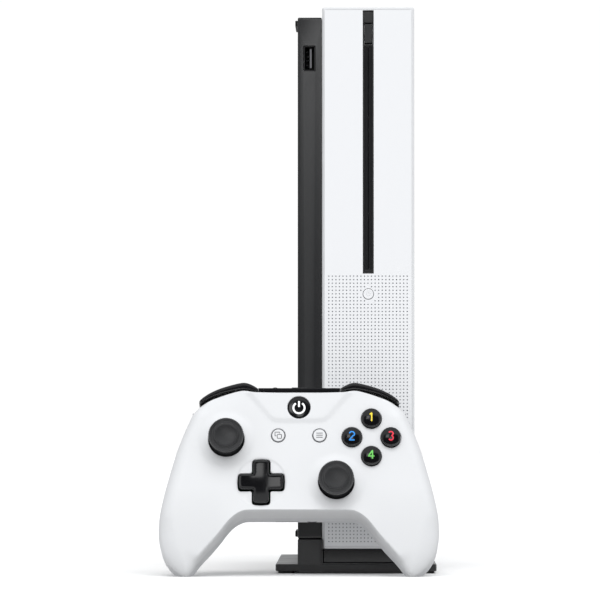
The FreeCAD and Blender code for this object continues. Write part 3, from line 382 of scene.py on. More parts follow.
def spun(profile, centre, axis="y", count=64, ribs=None):
    """Turns a profile of (radius, place along the axis) round an axis.

    ribs(radius, place, turn) can add to the radius.
    """
    turn = np.arange(count) * 2 * math.pi / count
    loops = []
    for radius, place in profile:
        reach = np.full(count, max(radius, 1e-4), float)
        if ribs:
            reach = reach + ribs(radius, place, turn)
        a, b = reach * np.cos(turn), reach * np.sin(turn)
        run = np.full(count, place, float)
        order = {"x": (run, a, b), "y": (a, run, b), "z": (a, b, run)}[axis]
        loops.append(np.stack(order, 1) + np.array(centre, float))
    return rings(loops)


def prism(loop, low, high, soften, axis="y"):
    """A flat outline drawn out along an axis, both ends rounded over."""
    middle = loop.mean(0)
    half = np.abs(loop - middle).max(0)
    loops = []
    ends = []
    for share in (1.0, 0.7, 0.3, 0.0):
        turn = share * math.pi / 2
        ends.append((low + soften * (1 - math.sin(turn)), soften * (1 - math.cos(turn))))
    for place, inset in ends + [(low + high - p, i) for p, i in ends[::-1]]:
        small = middle + (loop - middle) * (1 - inset / half)
        run = np.full(len(loop), place)
        order = {"x": (run, small[:, 0], small[:, 1]), "y": (small[:, 0], run, small[:, 1]),
                 "z": (small[:, 0], small[:, 1], run)}[axis]
        loops.append(np.stack(order, 1))
    return rings(loops)


def soft_box(low, high, soften, steps=2):
    """A box between two corners with its edges rounded."""
    low, high = np.array(low, float), np.array(high, float)
    work = bmesh.new()
    bmesh.ops.create_cube(work, size=1.0)
    for point in work.verts:
        point.co = Vector((low + high) / 2 + np.array(point.co) * (high - low))
    bmesh.ops.bevel(work, geom=work.edges, offset=soften, segments=steps, affect="EDGES",
                    profile=0.5)
    work.verts.index_update()
    shape = [tuple(p.co) for p in work.verts], [[p.index for p in f.verts] for f in work.faces]
    work.free()
    return shape


def board(loops, low, high, to_row):
    """A plate with holes between two depths; to_row(u, v, w) places a point."""
    flat, faces = triangles(loops, [], region(loops[0], loops[1:]))
    front = np.array([to_row(u, v, low) for u, v in flat])
    back = np.array([to_row(u, v, high) for u, v in flat])
    return thickened(front, faces, back - front)


def stroke(line, width, thick, at, closed=False):
    """A raised line along a flat path; at(points, lift) gives places for its points."""
    side = left_of(line, closed) * width / 2
    corners = [at(line + side, -0.05), at(line + side, thick),
               at(line - side, thick), at(line - side, -0.05)]
    loops = [np.array([corner[k] for corner in corners]) for k in range(len(line))]
    if closed:
        return rings(loops + loops[:1], False, False)
    return rings(loops)


def polyline(*corners, step=0.25):
    """Straight stretches between corners, cut fine enough to lie on a dome."""
    found = []
    for a, b in zip(corners, corners[1:]):
        a, b = np.array(a, float), np.array(b, float)
        count = max(2, int(np.hypot(*(b - a)) / step))
        found.extend(a + (b - a) * k / count for k in range(count))
    found.append(np.array(corners[-1], float))
    return np.array(found)


# ---- materials -------------------------------------------------------------


def node(tree, kind, **values):
    """A new shader node with some inputs set; an underscore stands for a space."""
    found = tree.nodes.new("ShaderNode" + kind)
    for label, value in values.items():
        found.inputs[label.replace("_", " ")].default_value = value
    return found


def coat(name, colour, rough, spread=0.05, grain=900.0, bump=0.02, metal=0.0, wear=0.0):
    """A plain surface: a broad noise varies its roughness and a fine one gives grain.

    wear lightens the edges that stand out.
    """
    found = bpy.data.materials.new(name)
    found.use_nodes = True
    tree = found.node_tree
    shader = tree.nodes["Principled BSDF"]
    shader.inputs["Base Color"].default_value = (*colour, 1.0)
    shader.inputs["Metallic"].default_value = metal
    place = node(tree, "TexCoord")
    drift = node(tree, "TexNoise", Scale=55.0, Detail=5.0)
    tree.links.new(place.outputs["Object"], drift.inputs["Vector"])
    span = node(tree, "MapRange", From_Min=0.3, From_Max=0.7, To_Min=rough - spread,
                To_Max=rough + spread)
    tree.links.new(drift.outputs["Fac"], span.inputs["Value"])
    tree.links.new(span.outputs["Result"], shader.inputs["Roughness"])
    fine = node(tree, "TexNoise", Scale=grain, Detail=3.0)
    tree.links.new(place.outputs["Object"], fine.inputs["Vector"])
    relief = node(tree, "Bump", Strength=bump, Distance=0.0002)
    tree.links.new(fine.outputs["Fac"], relief.inputs["Height"])
    tree.links.new(relief.outputs["Normal"], shader.inputs["Normal"])
    if wear:
        edge = node(tree, "NewGeometry")
        rub = node(tree, "MapRange", From_Min=0.52, From_Max=0.62)
        tree.links.new(edge.outputs["Pointiness"], rub.inputs["Value"])
        mix = tree.nodes.new("ShaderNodeMix")
        mix.data_type = "RGBA"
        mix.inputs["A"].default_value = (*colour, 1.0)
        mix.inputs["B"].default_value = (*[min(1.0, c + wear) for c in colour], 1.0)
        tree.links.new(rub.outputs["Result"], mix.inputs["Factor"])
        tree.links.new(mix.outputs["Result"], shader.inputs["Base Color"])
    return found


SHELL = coat("white_shell", (0.655, 0.665, 0.68), 0.42, bump=0.03)
PANEL = coat("white_panel", (0.77, 0.78, 0.80), 0.5, bump=0.03)
RIM = coat("white_rim", (0.6, 0.61, 0.63), 0.42, bump=0.02)
# Grey for the floors of the dotted walls' pits: painted shade in the pits.
PIT_SHADE = coat("painted_pit_shade", (0.3, 0.31, 0.33), 0.6)
# Textured white for the grips and rear shell; a little darker than the shell, which is painted
# shade for the rear shell's band under the seam.
GRIP_TEXTURE_AND_SHADE = coat("white_grip_with_painted_shade", (0.61, 0.62, 0.64), 0.55, grain=2600.0, bump=0.25)
BASE = coat("black_base", (0.0115, 0.012, 0.0132), 0.23, 0.015, grain=1500.0, bump=0.05, wear=0.02)
SATIN = coat("satin_black", (0.012, 0.012, 0.013), 0.36, grain=1500.0, bump=0.04, wear=0.015)
GLOSS = coat("gloss_black", (0.005, 0.005, 0.006), 0.13, spread=0.02, bump=0.0)
CRADLE = coat("gloss_cradle", (0.008, 0.008, 0.009), 0.18, spread=0.03, bump=0.01)
STICK = coat("stick_rubber", (0.02, 0.0205, 0.022), 0.4, grain=2200.0, bump=0.12, wear=0.02)
DEEP = coat("deep_black", (0.004, 0.004, 0.004), 0.7)
FELT = coat("slot_felt", (0.006, 0.006, 0.007), 0.85, grain=3200.0, bump=0.5)
# Grey for printed icons and the socket's tongue, and for the rings that are painted shade in the
# gaps round the power and menu keys.
INK_AND_GAP_SHADE = coat("grey_ink_and_painted_gap_shade", (0.12, 0.12, 0.13), 0.5)
PALE = coat("white_ink", (0.9, 0.9, 0.9), 0.35)
TAG = coat("dark_grey_key", (0.022, 0.0225, 0.024), 0.4, grain=1500.0, bump=0.05)
RUBBER = coat("foot_rubber", (0.012, 0.012, 0.012), 0.8, grain=1800.0, bump=0.3)
STEEL = coat("steel", (0.55, 0.56, 0.57), 0.33, spread=0.08, metal=1.0, bump=0.05, wear=0.1)
ALLOY = coat("aluminium", (0.75, 0.76, 0.78), 0.28, spread=0.06, metal=1.0, bump=0.05)
CIRCUIT = coat("circuit_board", (0.01, 0.07, 0.035), 0.4, spread=0.1, grain=1200.0, bump=0.2)
MODULE = coat("module_black", (0.02, 0.02, 0.022), 0.5, grain=1400.0, bump=0.1)
NYLON = coat("nylon", (0.5, 0.5, 0.47), 0.5)
CELL = coat("cell_wrap", (0.35, 0.2, 0.05), 0.3, spread=0.08)
DOME = coat("dome_rubber", (0.3, 0.31, 0.32), 0.65)
INKS = {
    "top": coat("yellow_ink", (0.85, 0.66, 0.04), 0.4),
    "left": coat("blue_ink", (0.02, 0.25, 0.72), 0.4),
    "right": coat("red_ink", (0.72, 0.03, 0.06), 0.4),
    "bottom": coat("green_ink", (0.14, 0.55, 0.1), 0.4),
}


# ---- console ---------------------------------------------------------------


def dot_grid(first, columns):
    """The place of a wall's lowest first pit, and the u and v of all its pits."""
    starts = (first, DOT_TOP - DOT_PITCH_Z * (DOT_ROWS - 1))
    u = starts[0] + DOT_PITCH_X * np.arange(columns)[:, None]
    v = starts[1] + DOT_PITCH_Z * np.arange(DOT_ROWS)[None, :]
    return starts, u, v


def dotted_wall(place, starts, kept, outline, holes):
    """A flat wall with a grid of small pits, drawn with place(u, v, depth).

    kept says which pits of the grid are there. Each has its own square tile of the
    wall, and triangles fill the rest of the outline. The pits' floors have tint 1,
    a grey that is painted shade in the pits.
    """
    points, faces, floors = [], [], []
    lattice = {}
    around = ((0, 0), (1, 0), (2, 0), (2, 1), (2, 2), (1, 2), (0, 2), (0, 1))
    sides = len(around)
    borders = {}
    for column, row in np.argwhere(kept).tolist():
        u = starts[0] + column * DOT_PITCH_X
        v = starts[1] + row * DOT_PITCH_Z
        square = []
        for a, b in around:
            spot = (2 * column + a, 2 * row + b)
            if spot not in lattice:
                lattice[spot] = len(points)
                points.append((starts[0] + (spot[0] - 1) * DOT_PITCH_X / 2,
                               starts[1] + (spot[1] - 1) * DOT_PITCH_Z / 2, 0.0))
            square.append(spot)
        rim = len(points)
        for reach, depth in ((DOT_RADIUS, 0.0), (DOT_RADIUS * 0.86, 0.5)):
            for k in range(sides):
                turn = math.pi / 4 * k - math.pi * 3 / 4
                points.append((u + reach * math.cos(turn), v + reach * math.sin(turn), depth))
        for k in range(sides):
            after = (k + 1) % sides
            a, b = square[k], square[after]
            faces.append((lattice[a], lattice[b], rim + after, rim + k))
            faces.append((rim + k, rim + after, rim + sides + after, rim + sides + k))
            if (b, a) in borders:
                del borders[(b, a)]
            else:
                borders[(a, b)] = True
        floors.append(tuple(range(rim + sides, rim + 2 * sides)))

    def keep(middle):
        pitches = np.array((DOT_PITCH_X, DOT_PITCH_Z))
        cell = np.round((middle - np.array(starts)) / pitches).astype(int)
        fits = ((cell >= 0) & (cell < np.array(kept.shape))).all(1)
        tile = np.zeros(len(middle), bool)
        tile[fits] = kept[cell[fits, 0], cell[fits, 1]]
        return region(outline, holes)(middle) & ~tile

    spots, edges, order = [], [], {}
    for a, b in borders:
        for end in (a, b):
            if end not in order:
                order[end] = len(spots)
                spots.append(points[lattice[end]][:2])
        edges.append((order[a], order[b]))
    flat, extra = triangles([outline, *holes], [], keep, spots, edges)
    start = len(points)
    points.extend((u, v, 0.0) for u, v in flat)
    faces.extend(tuple(int(c) + start for c in face) for face in extra)
    form = Form().add(([place(*point) for point in points], faces))
    # The pits' floors take the grey of painted shade.
    form.faces.extend(floors)
    form.tints.extend([1] * len(floors))
    return form


def skirt(loop, place, low, high):
    """The wall round a loop between two depths."""
    a = [place(u, v, low) for u, v in loop]
    b = [place(u, v, high) for u, v in loop]
    return rings([np.array(a), np.array(b)], False, False)


def standby(x, z, size):
    """The strokes of the generic standby figure."""
    ring = arc(x, z, size, 125, 415, 36)
    bar = polyline((x, z + size * 1.25), (x, z + size * 0.15))
    return ring, bar


def build_front_panel():
    """The perforated front panel, with its slot and the hole of the power key."""
    outline = round_box(SPLIT + 1.34, RIGHT - 1.34, BOTTOM + 1.34, TOP - 1.34, 0.6, 4)
    slot = round_box(SLOT_X - 3.0, SLOT_X + 3.0, 163.1, TOP - 1.6, 0.15, 3)
    power = circle(SLOT_X, POWER_Z, POWER_RADIUS + GAP, 40)
    starts, u, v = dot_grid(SPLIT + 1.75, 25)
    kept = np.hypot(u - SLOT_X, v - POWER_Z) > POWER_RADIUS + 0.9 + 0.5
    kept &= (u > SPLIT + 2.4) & (u < RIGHT - 2.4) & (v > BOTTOM + 2.4)
    form = dotted_wall(behind(FRONT), starts, kept, outline, [slot, power])
    for loop in (outline, slot, power):
        form.add(skirt(loop, behind(FRONT), 0.0, 2.6))
    piece(form, "front_panel_face", in_row, "console", [PANEL, PIT_SHADE],
          ["front_panel"], crease=25)


def case_loops(sections, x0, x1, z0, z1, radius, count=4):
    """Loops of a box-shaped shell: each section is (y, inset, inset at the left)."""
    loops = []
    for y, inset, left_inset in sections:
        loop = round_box(x0 + left_inset, x1 - inset, z0 + inset, z1 - inset, radius, count)
        loops.append(at_depth(loop, y))
    return loops


def build_top_cover():
    """The light cover: front rim, top, bottom and open left side."""
    count = 4
    front = [(FRONT + 2.8, 1.3, 1.3), (FRONT + 0.15, 1.3, 1.3), (FRONT, 1.2, 1.22),
             (FRONT, 0.55, 1.12), (FRONT + 0.15, 0.2, 0.9), (FRONT + 0.5, 0.0, 0.6),
             (FRONT + 1.3, 0.0, 0.0)]
    rear = [(REAR - 0.8, 0.0, 0.0), (REAR - 0.2, 0.2, 0.1), (REAR, 0.6, 0.2),
            (REAR, 2.3, 0.25), (REAR - 3.0, 2.4, 0.3)]
    points, faces = rings(case_loops(front + rear, SPLIT, RIGHT, BOTTOM, TOP, 1.0, count),
                          False, False)
    # Between the rim and the rear, the left side is open and the right is the dotted wall.
    start = (len(front) - 1) * 4 * count
    left_out = (start + count - 1, start + 3 * count - 1)
    form = Form().add((points, [face for face in faces if face[0] not in left_out]))
    piece(form, "cover_case", in_row, "console", [SHELL], ["top_cover"], 30)


def build_cover_wall():
    """The cover's right wall: a grid of pits on its lower half, and the round vent."""
    outline = np.array([(FRONT + 1.3, BOTTOM + 1.0), (REAR - 0.8, BOTTOM + 1.0),
                        (REAR - 0.8, TOP - 1.0), (FRONT + 1.3, TOP - 1.0)])
    vent = circle(VENT_Y, VENT_Z, VENT_RADIUS, 96)
    starts, u, v = dot_grid(FRONT + 4.2, 114)
    kept = (np.hypot(u - VENT_Y, v - VENT_Z) > VENT_RADIUS + 4.2) & (v > BOTTOM + 3.0)

    def place(a, b, w):
        return (RIGHT - w, a, b)

    form = dotted_wall(place, starts, kept, outline, [vent])
    form.add(skirt(vent, place, 0.0, 2.0))
    piece(form, "cover_wall", in_row, "console", [SHELL, PIT_SHADE], [], 25)
    grille = Form()
    for step in range(-11, 12):
        z = VENT_Z + 4.0 * step
        half = math.sqrt(VENT_RADIUS ** 2 - (4.0 * step) ** 2) + 0.3
        grille.add(soft_box((RIGHT - 2.1, VENT_Y - half, z - 1.0),
                            (RIGHT - 0.5, VENT_Y + half, z + 1.0), 0.45))
    for step in (-1, 0, 1):
        y = VENT_Y + 24.0 * step
        half = math.sqrt(VENT_RADIUS ** 2 - (24.0 * step) ** 2) - 0.5
        grille.add(soft_box((RIGHT - 2.6, y - 0.8, VENT_Z - half),
                            (RIGHT - 1.2, y + 0.8, VENT_Z + half), 0.3))
    piece(grille, "round_vent", in_row, "console", [SHELL])
    lining = Form()
    for wall, lip in ((TOP - 2.2, TOP - 8.0), (BOTTOM + 1.9, BOTTOM + 1.9)):
        lining.add(soft_box((SPLIT + 0.3, FRONT + 3.2, wall),
                            (RIGHT - 2.6, REAR - 3.2, wall + 0.3), 0.1), 0)
        lining.add(soft_box((SPLIT + 0.1, FRONT + 3.2, lip),
                            (SPLIT + 1.4, REAR - 3.2, lip + 6.1), 0.2), 1)
    piece(lining, "cover_lining", in_row, "console", [SHELL, SATIN])


def build_base_cover():
    """The dark base of the console, with its front socket's mouth."""
    face, back = FRONT + 1.0, REAR - 1.0
    low, high = BOTTOM + 5.5, TOP - 5.5
    mouth = round_box(SOCKET_X0 - 0.35, SOCKET_X1 + 0.35, SOCKET_Z0 - GAP, SOCKET_Z1 + GAP,
                      0.4, 4)
    hole = circle(PAIRING_X, PAIRING_Z, PAIRING_RADIUS + GAP, 32)
    rim = round_box(LEFT + 0.5, SPLIT - 0.1, low + 0.5, high - 0.5, 0.8, 4)
    sections = [(face, 0.5, 0.5), (face + 0.15, 0.15, 0.15), (face + 0.5, 0.0, 0.0),
                (back - 0.5, 0.0, 0.0), (back, 0.5, 0.5)]
    loops = []
    for y, inset, left_inset in sections:
        loop = round_box(LEFT + left_inset, SPLIT - 0.1, low + inset, high - inset, 0.8, 4)
        loops.append(at_depth(loop, y))
    form = Form().add(rings(loops, False, True))
    flat, faces = triangles([rim, mouth, hole], [], region(rim, [mouth, hole]))
    form.add((at_depth(flat, face), faces))
    form.add(skirt(mouth, behind(face), 0.0, 2.0))
    form.add(skirt(hole, behind(face), 0.0, 2.0))
    piece(form, "base_case", in_row, "console", [BASE], ["base_cover"], 30)
    profile = [(0.001, 0.0), (1.9, 0.0), (2.15, 0.25), (PAIRING_RADIUS, 0.6),
               (PAIRING_RADIUS, 4.8)]
    spun_button = spun(profile, (PAIRING_X, face - 0.45, PAIRING_Z), count=40)
    piece(Form().add(spun_button), "pairing_key", in_row, "pairing_button",
          [SATIN], ["pairing_button"])
    feet = Form()
    for z in (21.2, 300.5):
        for y in (FRONT + 12.0, FRONT + 178.0):
            feet.add(soft_box((LEFT - 1.5, y, z - 1.6), (LEFT + 0.1, y + 40.0, z + 1.6), 0.4))
    piece(feet, "foot_strips", in_row, "console", [RUBBER], ["console_feet"])


def build_front_socket():
    """The front socket: a metal sleeve, its tongue and four sprung contacts."""
    face = FRONT + 1.6
    x0, x1, z0, z1 = SOCKET_X0, SOCKET_X1, SOCKET_Z0, SOCKET_Z1
    outer = round_box(x0, x1, z0, z1, 0.5, 4)
    inner = round_box(x0 + 0.4, x1 - 0.4, z0 + 0.4, z1 - 0.4, 0.3, 4)
    form = Form().add(board([outer, inner], 0.0, 12.5, behind(face)), 0)
    form.add(soft_box((x0 + 0.2, face + 12.3, z0 + 0.2), (x1 - 0.2, face + 12.9, z1 - 0.2), 0.1), 1)
    form.add(soft_box((5.3, face + 0.9, z0 + 1.4), (6.4, face + 12.4, z1 - 1.4), 0.2), 2)
    for step in range(4):
        z = (z0 + z1) / 2 + (step - 1.5) * 2.4
        line = [(4.9, 1.2), (4.5, 2.0), (4.1, 2.6), (3.6, 2.9), (3.2, 3.6), (3.0, 4.6)]
        line = smooth(line, 4, closed=False)
        loops = []
        for x, w in line:
            loops.append(np.array([(x, face + w, z - 0.5), (x, face + w + 0.25, z - 0.5),
                                   (x, face + w + 0.25, z + 0.5), (x, face + w, z + 0.5)]))
        form.add(rings(loops), 3)
    piece(form, "socket_and_contacts", in_row, "console", [MODULE, DEEP, INK_AND_GAP_SHADE, STEEL],
          ["front_usb_port"])


def build_slot():
    """The disc slot's dark lining with felt lips, and the eject key above them."""
    face = FRONT + 0.9
    outer = round_box(SLOT_X - 4.4, SLOT_X + 4.4, 162.3, 306.3, 0.3, 3)
    key = round_box(SLOT_X - 2.4, SLOT_X + 2.4, EJECT_LOW - 0.6, EJECT_HIGH + 0.6, 0.3, 3)
    slit = round_box(SLOT_X - 0.9, SLOT_X + 0.9, 165.6, 286.4, 0.3, 3)
    form = Form().add(board([outer, key, slit], 0.6, 4.0, behind(face)), 0)
    for z0, z1, coat_number in ((300.1, 306.2, 0), (287.5, 288.1, 2), (164.6, 165.3, 2)):
        form.add(soft_box((SLOT_X - 2.2, face, z0), (SLOT_X + 2.2, face + 0.9, z1), 0.15),
                 coat_number)
    for side in (-1, 1):
        x0, x1 = sorted((SLOT_X + side * 0.12, SLOT_X + side * 2.15))
        form.add(soft_box((x0, face + 0.05, 165.4), (x1, face + 1.2, 287.2), 0.3), 1)
    piece(form, "slot_lining", in_row, "console", [SATIN, FELT, TAG],
          ["slot_bezel"])
    key_shape = soft_box((SLOT_X - 2.1, FRONT + 0.55, EJECT_LOW),
                         (SLOT_X + 2.1, FRONT + 5.3, EJECT_HIGH), 0.3, 3)
    piece(Form().add(key_shape), "eject_key", in_row, "eject_button", [TAG],
          ["eject_button"])


def build_power_key():
    """The power key with its figure, and a grey ring in the gap round it: painted shade of that
    gap.
    """

    def flat_top(points, lift):
        return at_depth(points, top + 0.08 - lift)

    top = FRONT - 0.2
    profile = [(0.001, 0.1), (1.6, 0.08), (2.2, 0.02), (2.55, 0.0), (2.72, 0.06),
               (POWER_RADIUS, 0.25), (POWER_RADIUS, 5.4)]
    form = Form().add(spun(profile, (SLOT_X, top, POWER_Z), count=56), 0)
    for line in standby(SLOT_X, POWER_Z - 0.1, 1.0):
        form.add(stroke(line, 0.22, 0.03, flat_top), 1)
    piece(form, "power_key", in_row, "power_button", [PANEL, RIM],
          ["power_button"])
    # A grey ring fills the gap between the key and the panel: painted shade of the gap.
    ring = circle(SLOT_X, POWER_Z, 3.06, 56)
    inner = circle(SLOT_X, POWER_Z, 2.86, 56)
    edge = board([ring, inner], 0.25, 2.4, behind(FRONT))
    piece(Form().add(edge), "power_gap_shade", in_row, "console", [INK_AND_GAP_SHADE])


def build_stand():
    """The stand's dark body, its glossy cradle and four pads."""
    rear = FRONT + 184.0
    plate = round_box(-13.25, 74.25, FRONT - 2.0, rear, 1.2, 4)
    form = Form().add(prism(plate, 1.3, 5.1, 0.5, "z"))
    form.add(soft_box((LEFT + 0.1, FRONT - 1.6, 0.4), (RIGHT - 0.1, rear - 0.2, 5.7), 0.4))
    form.add(soft_box((LEFT, FRONT - 1.9, 0.4), (SPLIT - 0.05, rear - 0.1, 18.5), 0.4, 3))
    form.add(soft_box((SPLIT - 1.0, FRONT - 1.9, 12.0), (12.45, FRONT - 0.1, 18.5), 0.3, 3))
    form.add(soft_box((SPLIT - 1.0, FRONT - 1.9, 5.0), (12.45, rear - 0.1, 13.3), 0.3, 3))
    piece(form, "stand_body", in_row, "stand", [SATIN], ["stand_base"])
    cradle = soft_box((12.5, FRONT + 1.0, 5.6), (62.2, FRONT + 180.9, 13.35), 0.6, 3)
    piece(Form().add(cradle), "stand_saddle", in_row, "stand", [CRADLE],
          ["stand_cradle"])
    pads = Form()
    for x in (-11.95, 64.45):
        for y in (FRONT, FRONT + 158.0):
            loop = round_box(x, x + 8.5, y, y + 24.0, 3.0, 5)
            pads.add(prism(loop, 0.0, 1.4, 0.3, "z"))
    piece(pads, "stand_feet", in_row, "stand", [RUBBER], ["stand_pads"])


# ---- controller shells -----------------------------------------------------


def whole_outline():
    """The controller's outline at the seam, anticlockwise from the bottom middle."""
    half = list(HALF_OUTLINE)
    other = [(-x, z) for x, z in reversed(half)]
    loop = smooth([(0.0, half[0][1]), *half, (0.0, half[-1][1]), *other], 8)
    return spaced(loop, 1.1)


OUTLINE = whole_outline()
HALF_CREASE = ((6.0, 79.0), (12.0, 79.3), (15.0, 80.6), (18.4, 84.4), (25.0, 92.2), (27.5, 94.6))
CREASE = smooth([*((-x, z) for x, z in HALF_CREASE[::-1]), (0.0, 79.0), *HALF_CREASE], 8,
                closed=False)


def face_holes():
    """Every hole in the controller's face, by name."""
    found = {side + "_stick": circle(*spot, STICK_HOLE, 72) for side, spot in STICKS.items()}
    found["cross"] = spaced(cross_loop(CROSS_REACH + CROSS_GAP, CROSS_HALF + CROSS_GAP)
                            + np.array(CROSS), 0.9)
    for name, spot in face_spots().items():
        found[name] = circle(*spot, FACE_RADIUS + GAP, 44)
    found["guide"] = circle(0.0, GUIDE_Z, GUIDE_RADIUS + 0.25, 48)
    for name, x in (("view", -MENU_X), ("menu", MENU_X)):
        found[name] = circle(x, MENU_Z, MENU_RADIUS + 0.25, 36)
    return found


def face_spots():
    x, z = FACE_CENTRE
    return {"top": (x, z + FACE_REACH), "bottom": (x, z - FACE_REACH),
            "left": (x - FACE_REACH, z), "right": (x + FACE_REACH, z)}


def front_depth(flat, rim_gap, hole_gap):
    """How deep the front shell's skin lies at each (x, z)."""
    x, z = np.abs(flat[:, 0]), flat[:, 1]
    grip = ease((x - 26.0) / 22.0)
    deep = 3.0 * (x / 75.0) ** 2.4
    deep = deep + 7.0 * grip * np.clip((42.0 - z) / 46.0, 0.0, 1.0) ** 1.6
    deep = deep + 1.6 * ease((z - 80.0) / 18.0) * ease((x - 24.0) / 26.0)
    crease = gap_to(flat, CREASE, closed=False)
    fan = inside(flat, np.vstack((CREASE, [(27.5, 105.0), (-27.5, 105.0)])))
    deep = deep - 0.75 * np.where(fan, 0.5 + 0.5 * ease(crease / 1.5),
                                  0.5 - 0.5 * ease(crease / 1.5))
    for cx, cz in STICKS.values():
        reach = np.hypot(flat[:, 0] - cx, z - cz)
        deep = deep - 1.5 * ease((16.8 - reach) / 6.6) ** 1.3
    reach = np.hypot(flat[:, 0] - CROSS[0], z - CROSS[1])
    deep = deep + 0.35 * ease((DISH_RADIUS + 0.6 - reach) / 1.2)
    top = ease((z - 84.0) / 8.0)
    low = ease((30.0 - z) / 12.0) * grip
    arch = ease((61.0 - x) / 9.0) * ease((48.0 - z) / 14.0)
    round_over = (7.0 * (1 - top) + 1.5 * top + 2.5 * low) * (1 - arch) + 1.5 * arch
    deep = deep + (SEAM - deep) * rounding(rim_gap, round_over)
    return deep + 0.35 * rounding(hole_gap, 0.35)


def build_front_shell():
    """The front shell: one domed skin with all the holes in the face."""
    holes = list(face_holes().values())
    extra = [beside(OUTLINE, d) for d in STEPS_IN]
    for loop in holes:
        extra.extend(beside(loop, -d) for d in (0.08, 0.2, 0.38))
    for spot in STICKS.values():
        extra.extend(circle(*spot, STICK_HOLE + d, 66) for d in (0.9, 1.7, 2.6, 3.6, 4.7, 5.9, 7.2))
    rim = np.vstack(extra)
    crossing = np.concatenate([CREASE + np.array([0.0, s]) for s in (-1.5, -0.8, 0.0, 0.8, 1.5)])
    dish = np.concatenate([circle(*CROSS, DISH_RADIUS + s, 84) for s in (-0.7, -0.2, 0.3, 0.8)])
    rim = np.vstack((rim, apart(np.vstack((crossing, dish)), rim, 0.45)))
    filling = apart(grid(FACE_LOW, FACE_HIGH, 1.15), np.vstack((rim, OUTLINE)), 0.8)
    free = np.vstack((rim, filling))
    keep = region(OUTLINE, holes)
    flat, faces = triangles([OUTLINE, *holes], free[keep(free)], keep)
    rim_gap = gap_to(flat, OUTLINE)
    hole_gap = np.min([gap_to(flat, loop) for loop in holes], 0)
    points = at_depth(flat, front_depth(flat, rim_gap, hole_gap))
    back = -facing(points, faces)
    straight = ease((1.6 - hole_gap) / 0.8)[:, None]
    back = back * (1 - straight) + np.array([0.0, 1.0, 0.0]) * straight
    back = np.where((rim_gap < 0.02)[:, None], inward_of(flat), back)
    form = Form().add(thickened(points, faces, back * FRONT_WALL))
    piece(form, "front_shell_skin", leaned, "controller", [SHELL],
          ["front_shell"], crease=40)


def inward_of(flat):
    """Level directions from the rim towards the middle of each half."""
    way = np.stack((np.sign(flat[:, 0]) * 30.0 - flat[:, 0], 55.0 - flat[:, 1]), 1)
    way = way / np.maximum(np.hypot(*way.T), 1e-9)[:, None]
    return at_depth(way, 0.0)


def rear_depth(flat, rim_gap):
    """How deep the rear skin lies: a flat back with two round grips, kept off the floor."""
    x, z = np.abs(flat[:, 0]), flat[:, 1]
    grip = ease((x - 34.0) / 16.0) * ease((70.0 - z) / 16.0)
    back = 30.0 + 8.4 * grip
    round_over = 7.0 + 9.5 * grip
    share = 1.0 - np.clip(rim_gap / round_over, 0.0, 1.0)
    start = SEAM + 0.25
    power = 3.0 + grip
    deep = start + (back - start) * np.maximum(1.0 - share ** power, 0.0) ** (1.0 / power)
    floor = (z * math.cos(LEAN) + STANCE_Z) / math.sin(LEAN)
    blend = 1.2
    return -blend * np.log(np.exp(-deep / blend) + np.exp(-floor / blend))


def build_rear_shell():
    """The rear shell and both grip panels, cut from one skin."""
    rim = spaced(beside(OUTLINE, 0.15), 1.1)
    bays = [round_box(side * 41.0 - 14.5, side * 41.0 + 14.5, 68.0, 110.0, 1.5, 4)
            for side in (-1, 1)]
    door = round_box(-27.5, 27.5, 34.5, 75.5, 3.0, 6)
    grips = []
    for side in (-1, 1):
        line = smooth(GRIP_LINE, 5, closed=False) * np.array([side, 1.0])
        end = np.array([(side * 90.0, -20.0), (side * 90.0, 53.0)])
        grips.append((line, np.vstack((line, [(side * 43.6, -20.0)], end))))
    extra = [beside(rim, d) for d in (*STEPS_IN, 11.0, 13.0)]
    for line, _ in grips:
        for s in (-0.5, -0.22, 0.0, 0.22, 0.5):
            extra.append(line + left_of(line, closed=False) * s)
    edge = np.vstack(extra)
    filling = apart(grid(FACE_LOW, FACE_HIGH, 1.3), np.vstack((edge, rim)), 0.8)
    free = np.vstack((edge, filling))
    keep = region(rim, [door, *bays])
    flat, faces = triangles([rim, door, *bays], free[keep(free)], keep)
    deep = rear_depth(flat, gap_to(flat, rim))
    for line, _ in grips:
        deep = deep - 0.55 * np.exp(-(gap_to(flat, line, closed=False) / 0.25) ** 2)
    points = at_depth(flat, deep)
    faces = faces[:, ::-1]
    back = -facing(points, faces) * REAR_WALL
    middle = flat[faces].mean(1)
    taken = np.zeros(len(faces), bool)
    for side, (line, area) in zip(("left", "right"), grips):
        here = inside(middle, area)
        taken |= here
        form = Form().add(used(points, faces[here], back))
        piece(form, side + "_grip", leaned, "controller", [GRIP_TEXTURE_AND_SHADE],
              [side + "_grip_panel"], crease=40)
    # The rear shell takes the grips' darker white: painted shade for the band under the seam.
    form = Form().add(used(points, faces[~taken], back))
    piece(form, "rear_shell_skin", leaned, "controller", [GRIP_TEXTURE_AND_SHADE],
          ["rear_shell"], crease=40)


def used(points, faces, back):
    """A closed wall from only those points that the faces use."""
    kept, index = np.unique(faces, return_inverse=True)
    return thickened(points[kept], index.reshape(faces.shape), back[kept])


